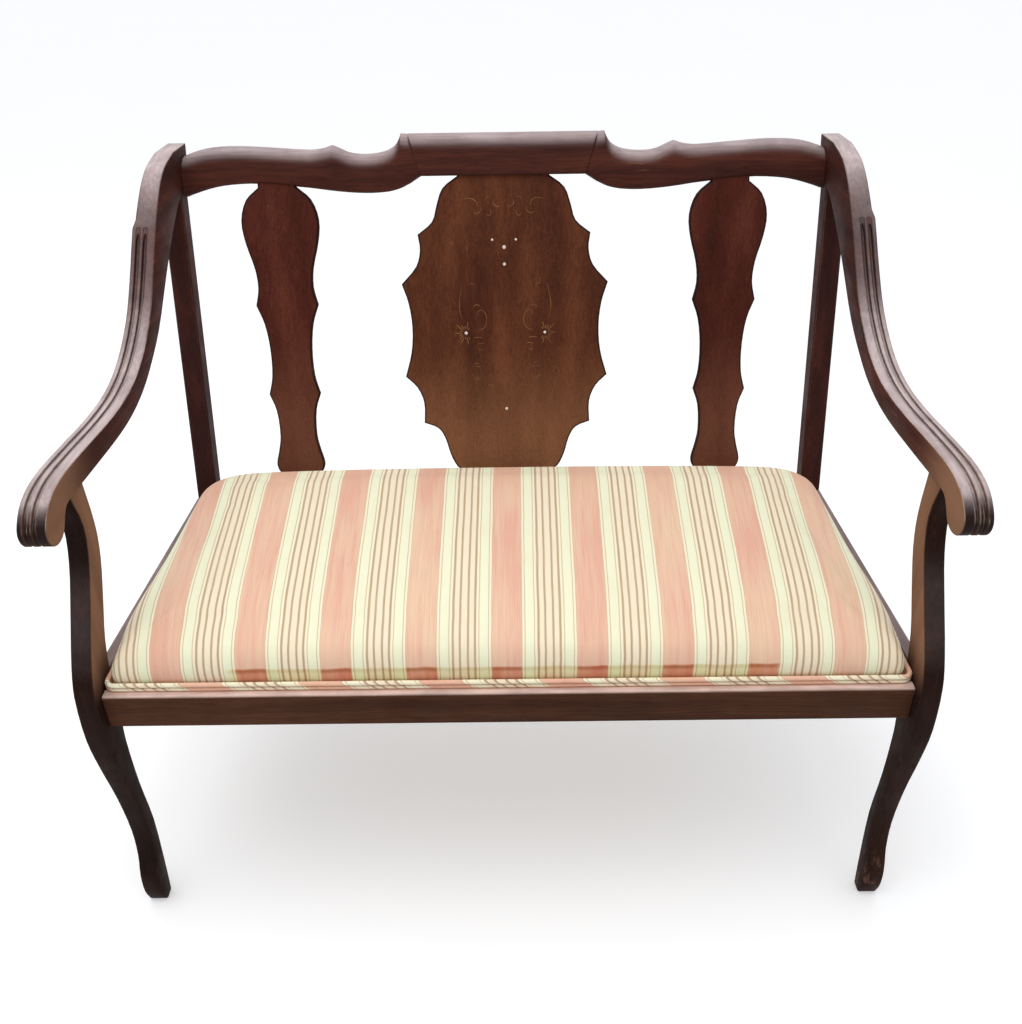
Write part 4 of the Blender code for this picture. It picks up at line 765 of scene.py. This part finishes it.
def double_welt(surface):
    """Two cords wrapped in one strip of bias-cut cloth, a little uneven, laid round the foot of the pad.

    Under them lies the tacked edge of the strip, which closes the rebate between rail and hessian.
    """
    meet = math.asin(CORD_SPACING / 2 / CORD_RADIUS)
    sweep = math.pi + 2 * meet
    section = []
    for middle, level in ((-math.pi / 2, CORD_RADIUS), (math.pi / 2, CORD_RADIUS + CORD_SPACING)):
        for i in range(CORD_STEPS + 1):
            angle = middle + sweep * (i / CORD_STEPS - 0.5)
            out, up = CORD_RADIUS * math.cos(angle), level + CORD_RADIUS * math.sin(angle)
            # Painted shade along the section: full where the two cords meet, gone a sixth of a cord's sweep
            # away.
            near = min(i, CORD_STEPS - i) / CORD_STEPS
            section.append((out, up, max(0.0, 1.0 - near * WELT_VALLEY_SHADE)))
    route = welt_path()
    work = bmesh.new()
    along = work.verts.layers.float.new("along")
    around = work.verts.layers.float.new("around")
    valley = work.verts.layers.float.new("valley")
    loops = []
    travelled = 0.0
    for k, spot in enumerate(route):
        before, after = route[k - 1 if k else -2], route[k + 1 if k + 1 < len(route) else 1]
        forward = (after - before).normalized()
        outward = Vector((forward.y, -forward.x))
        if k:
            travelled += (spot - route[k - 1]).length
        loop = []
        for out, up, valley_darkening in section:
            where = (travelled * WELT_PUFF_ALONG, up * WELT_PUFF_UP, WELT_PUFF_SEED)
            puff = 1 + WELT_PUFF * noise.noise(where)
            place = spot + outward * out * puff
            point = work.verts.new((place.x, place.y, PAD_FOOT + up))
            point[along] = travelled
            point[around] = up * WELT_WRAP
            point[valley] = valley_darkening
            loop.append(point)
        loops.append(loop)
    bridge(work, loops)
    rims = []
    for out, level in TACKED_SECTION:
        rim = []
        for p in pad_plan(0.0, -out):
            reach = TACKED_REACH if out > 0 and p.y > TACKED_FROM else 0.0
            rim.append(work.verts.new((p.x + math.copysign(reach, p.x), p.y, PAD_FOOT + level)))
            # The tacked edge gets the welt's painted shade in full.
            rim[-1][valley] = 1.0
        rims.append(rim)
    bridge(work, rims + rims[:1])
    bmesh.ops.recalc_face_normals(work, faces=work.faces)
    mesh = made_mesh(work, "welt_double")
    smooth_faces(mesh)
    piece = mesh_piece("welt_double", mesh, surface)
    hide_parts("double_welt")


def back_frame(behind):
    """Frame on the front of the back: x to the right, y up the rake, z out towards the sitter."""
    lean = Matrix.Rotation(math.pi / 2 - BACK_RAKE, 4, "X")
    return Matrix.Translation(BACK_POINT) @ lean @ Matrix.Translation((0, 0, -behind))


def spot_on_splat(x, level):
    """Place on the splats' front face at a height above the floor."""
    return x, (level - BACK_POINT[2]) / math.cos(BACK_RAKE)


# Pearl dots: name, place across and height above the floor, radius.
PEARLS = (("pearl_top_left", -0.0175, 0.7945, 0.0018), ("pearl_top_right", 0.0175, 0.7945, 0.0018),
          ("pearl_high", 0.0, 0.784, 0.0027), ("pearl_low", 0.0, 0.760, 0.0024),
          ("pearl_side_left", -0.060, 0.6605, 0.0025), ("pearl_side_right", 0.060, 0.6605, 0.0022),
          ("pearl_foot", 0.0, 0.545, 0.0023))
PEARL_SIDES = 20
PEARL_PROUD = 0.0006
PEARL_SUNK = 0.0008
PEARL_DOME = ((1.0, 0.0), (0.92, 0.6), (0.55, 0.95))


def pearls(surface):
    """Small domed discs let into the middle splat."""
    for name, x, level, radius in PEARLS:
        work = bmesh.new()
        rings = [(radius, -PEARL_SUNK)]
        rings += [(radius * size, PEARL_PROUD * rise) for size, rise in PEARL_DOME]
        loops = []
        for size, out in rings:
            turn = [2 * math.pi * i / PEARL_SIDES for i in range(PEARL_SIDES)]
            loops.append([work.verts.new((size * math.cos(a), size * math.sin(a), out)) for a in turn])
        bridge(work, loops)
        work.faces.new(loops[0][::-1])
        work.faces.new(loops[-1])
        across, up = spot_on_splat(x, level)
        work.transform(back_frame(SPLAT_SETBACK) @ Matrix.Translation((across, up, 0)))
        mesh = made_mesh(work, name)
        smooth_faces(mesh)
        mesh_piece(name, mesh, surface)


# Right half of the inlay and of the stringing: place across and height of each line's points.
INLAY_STROKES = (
    ((0.0600, 0.7420), (0.0655, 0.7250), (0.0690, 0.7040), (0.0670, 0.6860), (0.0600, 0.6760)),
    ((0.0364, 0.6824), (0.0405, 0.6857), (0.0413, 0.6912), (0.0365, 0.6942), (0.0308, 0.6903),
     (0.0282, 0.6796), (0.0315, 0.6687), (0.0427, 0.6646), (0.0530, 0.6680)),
    ((0.0350, 0.6990), (0.0440, 0.7020), (0.0500, 0.6960)),
    ((0.0450, 0.7290), (0.0500, 0.7330), (0.0540, 0.7300)),
    ((0.0320, 0.6528), (0.0420, 0.6540), (0.0518, 0.6525)),
    ((0.0300, 0.6440), (0.0370, 0.6455), (0.0450, 0.6430)),
    ((0.0340, 0.6380), (0.0390, 0.6350), (0.0430, 0.6390)),
    ((0.0350, 0.6105), (0.0450, 0.6100), (0.0546, 0.6102)),
    ((0.0400, 0.6143), (0.0450, 0.6146), (0.0505, 0.6143)),
    ((0.0560, 0.6010), (0.0490, 0.5940), (0.0420, 0.5860)),
    ((0.0470, 0.5990), (0.0440, 0.5930), (0.0400, 0.5900)),
    ((0.0300, 0.5790), (0.0240, 0.5830), (0.0190, 0.5770)),
    ((0.0640, 0.8470), (0.0540, 0.8520), (0.0440, 0.8505), (0.0390, 0.8440), (0.0440, 0.8400)),
    ((0.0480, 0.8360), (0.0400, 0.8310), (0.0330, 0.8360), (0.0350, 0.8430)),
    ((0.0130, 0.8530), (0.0150, 0.8450), (0.0080, 0.8400), (0.0040, 0.8460)),
    ((0.0290, 0.8330), (0.0220, 0.8280), (0.0180, 0.8330), (0.0210, 0.8390)),
    ((0.0270, 0.8480), (0.0240, 0.8540), (0.0190, 0.8520)),
)
STRINGING = (
    ((0.0885, 0.842), (0.0977, 0.812), (0.1035, 0.776), (0.1120, 0.748), (0.1247, 0.722)),
    ((0.1247, 0.722), (0.1185, 0.690), (0.1164, 0.6575), (0.1172, 0.630), (0.1207, 0.606)),
    ((0.1207, 0.606), (0.1080, 0.590), (0.0997, 0.565), (0.0950, 0.530)),
    ((0.0950, 0.530), (0.0830, 0.510), (0.0740, 0.485)),
)
INLAY_RADIUS = 0.0007
INLAY_SUNK = 0.0006
STROKE_STEPS = 6
STRINGING_STEPS = 8
STRINGING_WIDTH = 0.9

# Flower round each of the pearls at the sides.
FLOWER = (0.060, 0.6605)
PETALS = 13
PETAL_STEPS = 6
PETAL_TURN = 1.35 * math.pi
PETAL_START = 0.0050
PETAL_LENGTHS = (0.012, 0.018, 0.010, 0.020, 0.014)


def inlay(name, strokes, surface):
    """Thin lines let into the middle splat, alike on both sides of its middle."""
    curve = bpy.data.curves.new(name, "CURVE")
    curve.dimensions = "3D"
    curve.bevel_depth = INLAY_RADIUS
    curve.bevel_resolution = 2
    curve.use_fill_caps = True
    frame_on_splat = back_frame(SPLAT_SETBACK + INLAY_SUNK)
    for points, widths in strokes:
        for side in (-1, 1):
            spline = curve.splines.new("POLY")
            spline.points.add(len(points) - 1)
            for i, (x, level) in enumerate(points):
                across, up = spot_on_splat(side * x, level)
                spot = frame_on_splat @ Vector((across, up, 0.0))
                spline.points[i].co = (*spot, 1.0)
                spline.points[i].radius = widths[i]
    line = bpy.data.objects.new(name + "_line", curve)
    bpy.context.scene.collection.objects.link(line)
    bpy.context.view_layer.update()
    shape = line.evaluated_get(bpy.context.evaluated_depsgraph_get())
    mesh = bpy.data.meshes.new_from_object(shape)
    mesh.name = name
    mesh.materials.clear()
    bpy.data.objects.remove(line)
    smooth_faces(mesh)
    mesh_piece(name, mesh, surface)


def swelling(steps, least, more):
    """Widths along a stroke, widest half way."""
    return [least + more * math.sin(math.pi * k / steps) for k in range(steps + 1)]


def tapered(points):
    """A stroke drawn smoothly, thinner towards both ends."""
    fine = [tuple(point) for point in smooth_curve(points, STROKE_STEPS)]
    return fine, swelling(len(fine) - 1, 0.75, 0.5)


def splat_ornament():
    """Scrolls, flowers and stringing on the middle splat."""
    leaves = []
    for i in range(PETALS):
        angle = PETAL_TURN * (i / (PETALS - 1) - 0.5)
        end = PETAL_LENGTHS[i % len(PETAL_LENGTHS)]
        along = [PETAL_START + (end - PETAL_START) * k / PETAL_STEPS for k in range(PETAL_STEPS + 1)]
        points = [(FLOWER[0] + r * math.cos(angle), FLOWER[1] + r * math.sin(angle)) for r in along]
        leaves.append((points, swelling(PETAL_STEPS, 0.8, 0.7)))
    light = satinwood("satinwood_lines", srgb(110, 70, 42), srgb(140, 96, 60))
    inlay("splat_inlay", [tapered(stroke) for stroke in INLAY_STROKES] + leaves, light)
    line = satinwood("satinwood_stringing", srgb(108, 68, 42), srgb(136, 92, 58))
    even = [[tuple(point) for point in smooth_curve(stroke, STRINGING_STEPS)] for stroke in STRINGING]
    inlay("splat_stringing", [(points, [STRINGING_WIDTH] * len(points)) for points in even], line)


# Upper ends of the right arm's grooves: their middles across, their place in Y and Z, the way down the arm,
# the way out of its face, half the width and the depth.
GROOVE_MIDDLES = (0.48874, 0.49864)
GROOVE_END = (0.15389, 0.85100)
GROOVE_DOWN = Vector((0.040, -0.608, -0.793)).normalized()
GROOVE_OUT = Vector((0.0, -0.793, 0.608))
GROOVE_HALF = 0.0028
GROOVE_DEPTH = 0.0022

# Stops: how far they go into the arm at their upper end, how far they fill the groove, their length, their
# steps, the curve of the point, how far they lie under the arm's face, and how far they go into the groove.
STOP_BURIED = 0.0015
STOP_SOLID = 0.008
STOP_LENGTH = 0.020
STOP_STEPS = 10
STOP_POINT = 0.7
STOP_SUNK = 0.0001
STOP_KEY = 0.0002


def groove_stops(surface):
    """Wood left in the upper ends of the arms' grooves, so that they start in a point."""
    for name, side in (("groove_stops_left", -1), ("groove_stops_right", 1)):
        work = bmesh.new()
        for middle in GROOVE_MIDDLES:
            for hand in (-1, 1):
                loops = []
                for k in range(STOP_STEPS + 1):
                    run = (STOP_LENGTH + STOP_BURIED) * k / STOP_STEPS - STOP_BURIED
                    opened = max(run - STOP_SOLID, 0.0) / (STOP_LENGTH - STOP_SOLID)
                    near, far = GROOVE_HALF * opened ** STOP_POINT, GROOVE_HALF + STOP_KEY
                    section = ((near, STOP_SUNK), (far, STOP_SUNK), (far, GROOVE_DEPTH), (near, GROOVE_DEPTH))
                    spot = Vector((middle, *GROOVE_END)) + GROOVE_DOWN * run
                    loop = []
                    for across, sunk in section:
                        place = spot + Vector((hand * across, 0, 0)) - GROOVE_OUT * sunk
                        loop.append(work.verts.new((side * place.x, place.y, place.z)))
                    loops.append(loop)
                bridge(work, loops)
                work.faces.new(loops[0])
                work.faces.new(loops[-1][::-1])
        bmesh.ops.recalc_face_normals(work, faces=work.faces)
        mesh_piece(name, made_mesh(work, name), surface)


def stage():
    """White floor that keeps the settee's shadow, lifted to white where it is seen directly or mirrored."""
    g = Graph("floor_white")
    mottled = g.noise(g.place(), 2.0, 2.0)
    colour = g.mix(mottled, (0.86, 0.86, 0.86, 1), (0.88, 0.88, 0.88, 1))
    path = g.node("ShaderNodeLightPath").outputs
    mirrored = g.sum("MAXIMUM", path["Is Glossy Ray"], path["Is Transmission Ray"])
    seen = g.sum("MAXIMUM", path["Is Camera Ray"], mirrored)
    surface = g.finish(Base_Color=colour, Roughness=0.9, Specular_IOR_Level=0.1, Emission_Color=(1, 1, 1, 1),
                       Emission_Strength=g.times(seen, FLOOR_LIFT))
    mesh = bpy.data.meshes.new("floor")
    corners = ((-1, -1), (1, -1), (1, 1), (-1, 1))
    mesh.from_pydata([(x * FLOOR_REACH, y * FLOOR_REACH, 0) for x, y in corners], [], [(0, 1, 2, 3)])
    floor = bpy.data.objects.new("floor", mesh)
    floor.data.materials.append(surface)
    bpy.context.scene.collection.objects.link(floor)


def sky():
    """Even light, stronger from above; seen directly or mirrored it is white."""
    world = bpy.data.worlds.new("studio")
    bpy.context.scene.world = world
    world.use_nodes = True
    nodes, links = world.node_tree.nodes, world.node_tree.links
    light = nodes["Background"]
    direction = nodes.new("ShaderNodeTexCoord").outputs["Generated"]
    split = nodes.new("ShaderNodeSeparateXYZ")
    links.new(direction, split.inputs[0])
    ramp = nodes.new("ShaderNodeValToRGB")
    ramp.color_ramp.elements[0].position = 0.0
    ramp.color_ramp.elements[0].color = (0.30, 0.29, 0.28, 1)
    ramp.color_ramp.elements[1].position = 0.9
    ramp.color_ramp.elements[1].color = (0.92, 0.95, 1.0, 1)
    links.new(split.outputs["Z"], ramp.inputs["Fac"])
    links.new(ramp.outputs["Color"], light.inputs["Color"])
    white = nodes.new("ShaderNodeBackground")
    white.inputs["Color"].default_value = (1, 1, 1, 1)
    path = nodes.new("ShaderNodeLightPath")
    mirrored = nodes.new("ShaderNodeMath")
    mirrored.operation = "MAXIMUM"
    links.new(path.outputs["Is Glossy Ray"], mirrored.inputs[0])
    links.new(path.outputs["Is Transmission Ray"], mirrored.inputs[1])
    seen = nodes.new("ShaderNodeMath")
    seen.operation = "MAXIMUM"
    links.new(path.outputs["Is Camera Ray"], seen.inputs[0])
    links.new(mirrored.outputs[0], seen.inputs[1])
    both = nodes.new("ShaderNodeMixShader")
    links.new(seen.outputs[0], both.inputs["Fac"])
    links.new(light.outputs[0], both.inputs[1])
    links.new(white.outputs[0], both.inputs[2])
    links.new(both.outputs[0], nodes["World Output"].inputs["Surface"])


def lamp(name, place, aim, width, height, power, colour):
    """A soft rectangular lamp."""
    data = bpy.data.lights.new(name, "AREA")
    data.shape = "RECTANGLE"
    data.size, data.size_y = width, height
    data.energy = power
    data.color = colour
    piece = bpy.data.objects.new(name, data)
    piece.matrix_world = (Matrix.Translation(place)
                          @ (Vector(place) - Vector(aim)).to_track_quat("Z", "Y").to_matrix().to_4x4())
    bpy.context.scene.collection.objects.link(piece)


def camera():
    """Camera from yaw, pitch and roll."""
    yaw, pitch, roll = (math.radians(v) for v in (CAMERA_YAW, CAMERA_PITCH, CAMERA_ROLL))
    ahead = Vector((math.sin(yaw) * math.cos(pitch), math.cos(yaw) * math.cos(pitch), -math.sin(pitch)))
    right = Vector((math.cos(yaw), -math.sin(yaw), 0))
    down = ahead.cross(right)
    across = math.cos(roll) * right + math.sin(roll) * down
    downward = math.cos(roll) * down - math.sin(roll) * right
    data = bpy.data.cameras.new("camera")
    data.lens = CAMERA_LENS
    data.sensor_width = CAMERA_SENSOR
    piece = bpy.data.objects.new("camera", data)
    turn = Matrix((across, -downward, -ahead)).transposed().to_4x4()
    piece.matrix_world = Matrix.Translation(CAMERA_PLACE) @ turn
    bpy.context.scene.collection.objects.link(piece)
    bpy.context.scene.camera = piece


def finishes():
    """Give every CAD node its finish."""
    arms = (srgb(42, 18, 14), srgb(64, 29, 22), srgb(90, 45, 33))
    posts = (srgb(36, 15, 12), srgb(54, 24, 19), srgb(76, 37, 28))
    deep = (srgb(24, 13, 10), srgb(38, 21, 15), srgb(56, 34, 25))
    rail = (srgb(46, 24, 14), srgb(70, 40, 25), srgb(94, 58, 38))
    side = (srgb(56, 23, 16), srgb(78, 35, 25), srgb(100, 51, 37))
    rich = (srgb(56, 27, 17), srgb(86, 46, 29), srgb(112, 64, 41))
    # Painted bounce light from the seat's cloth, for the inner faces of the arms and legs.
    painted_bounce_colour = srgb(140, 102, 78)
    arm = mahogany("mahogany_arms", "Y", arms, painted_sheen=0.95, painted_sheen_colour=ARM_PAINTED_SHEEN, painted_sheen_from=0.46, wear=1.0,
                   wear_below=0.80, painted_bounce=("Y", -0.15, -0.26, painted_bounce_colour), painted_shade=(-0.255, -0.285))
    dress(("arm_left", "arm_right"), arm)
    groove_stops(arm)
    dress(("crest_rail",), mahogany("mahogany_crest", "X", arms, painted_sheen=0.90, wear=0.15, shaded_hollows=False))
    dress(("back_post_left", "back_post_right"), mahogany("mahogany_posts", "Z", posts, wear=0.2))
    dress(("front_leg_left", "front_leg_right"),
          mahogany("mahogany_legs", "Z", deep, painted_sheen=0.3, wear=0.15, specular=0.06, scuff=0.15,
                   painted_bounce=("Z", 0.40, 0.47, painted_bounce_colour)))
    dress(("front_seat_rail", "back_seat_rail"),
          mahogany("mahogany_rails", "X", rail, painted_sheen=0.97, painted_sheen_colour=LEDGE_PAINTED_SHEEN, wear=0.85,
                   specular=0.1))
    dress(("side_rail_left", "side_rail_right"),
          mahogany("mahogany_side_rails", "Y", rail, painted_sheen=0.5, wear=0.3))
    side_fade = (0.68, 0.46, srgb(116, 72, 54))
    dress(("splat_left", "splat_right"),
          mahogany("mahogany_side_splats", "Z", side, painted_sheen=0.0, wear=0.0, specular=0.08, figure_size=26.0,
                   clouds=0.12, fade=side_fade, dark_edges=True))
    middle_fade = (0.66, 0.46, srgb(142, 96, 66))
    dress(("center_splat",),
          mahogany("mahogany_splat", "Z", rich, painted_sheen=0.0, wear=0.0, specular=0.08, figure_size=22.0,
                   clouds=0.12, fade=middle_fade, dark_edges=True))
    beech = plain_wood("beech_frame", "X", srgb(186, 148, 104), srgb(208, 172, 126))
    names = frame["nodes"]
    dress([n for n in names if n.startswith("corner_block")] + ["seat_cross_rail"], beech)
    dress(("arm_dowel_left", "arm_dowel_right"),
          plain_wood("beech_dowels", "Z", srgb(190, 152, 108), srgb(212, 178, 134)))
    dress([n for n in names if n.startswith("screw")], steel("steel_screws"))
    jute = woven("jute_straps", srgb(150, 116, 72), srgb(196, 164, 116), 0.0022, 0.35)
    dress([n for n in names if n.startswith("webbing")], jute)
    dress(("hessian",), woven("hessian_cloth", srgb(146, 112, 70), srgb(188, 154, 104), 0.0013, 0.5))
    dress(("seat_stuffing",), hair("hair_filling"))


for thing in list(bpy.data.objects):
    bpy.data.objects.remove(thing)
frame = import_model()
camera()
sky()
lamp("key", **KEY_LAMP)
stage()
finishes()
cover = striped_cloth("cloth_striped")
dress(("seat_cover",), cover)
upholstery(cover)
piping = welt_cloth("cloth_welt")
dress(("double_welt",), piping)
double_welt(piping)
pearls(pearl("mother_of_pearl"))
splat_ornament()
bpy.context.scene.view_settings.view_transform = "Standard"
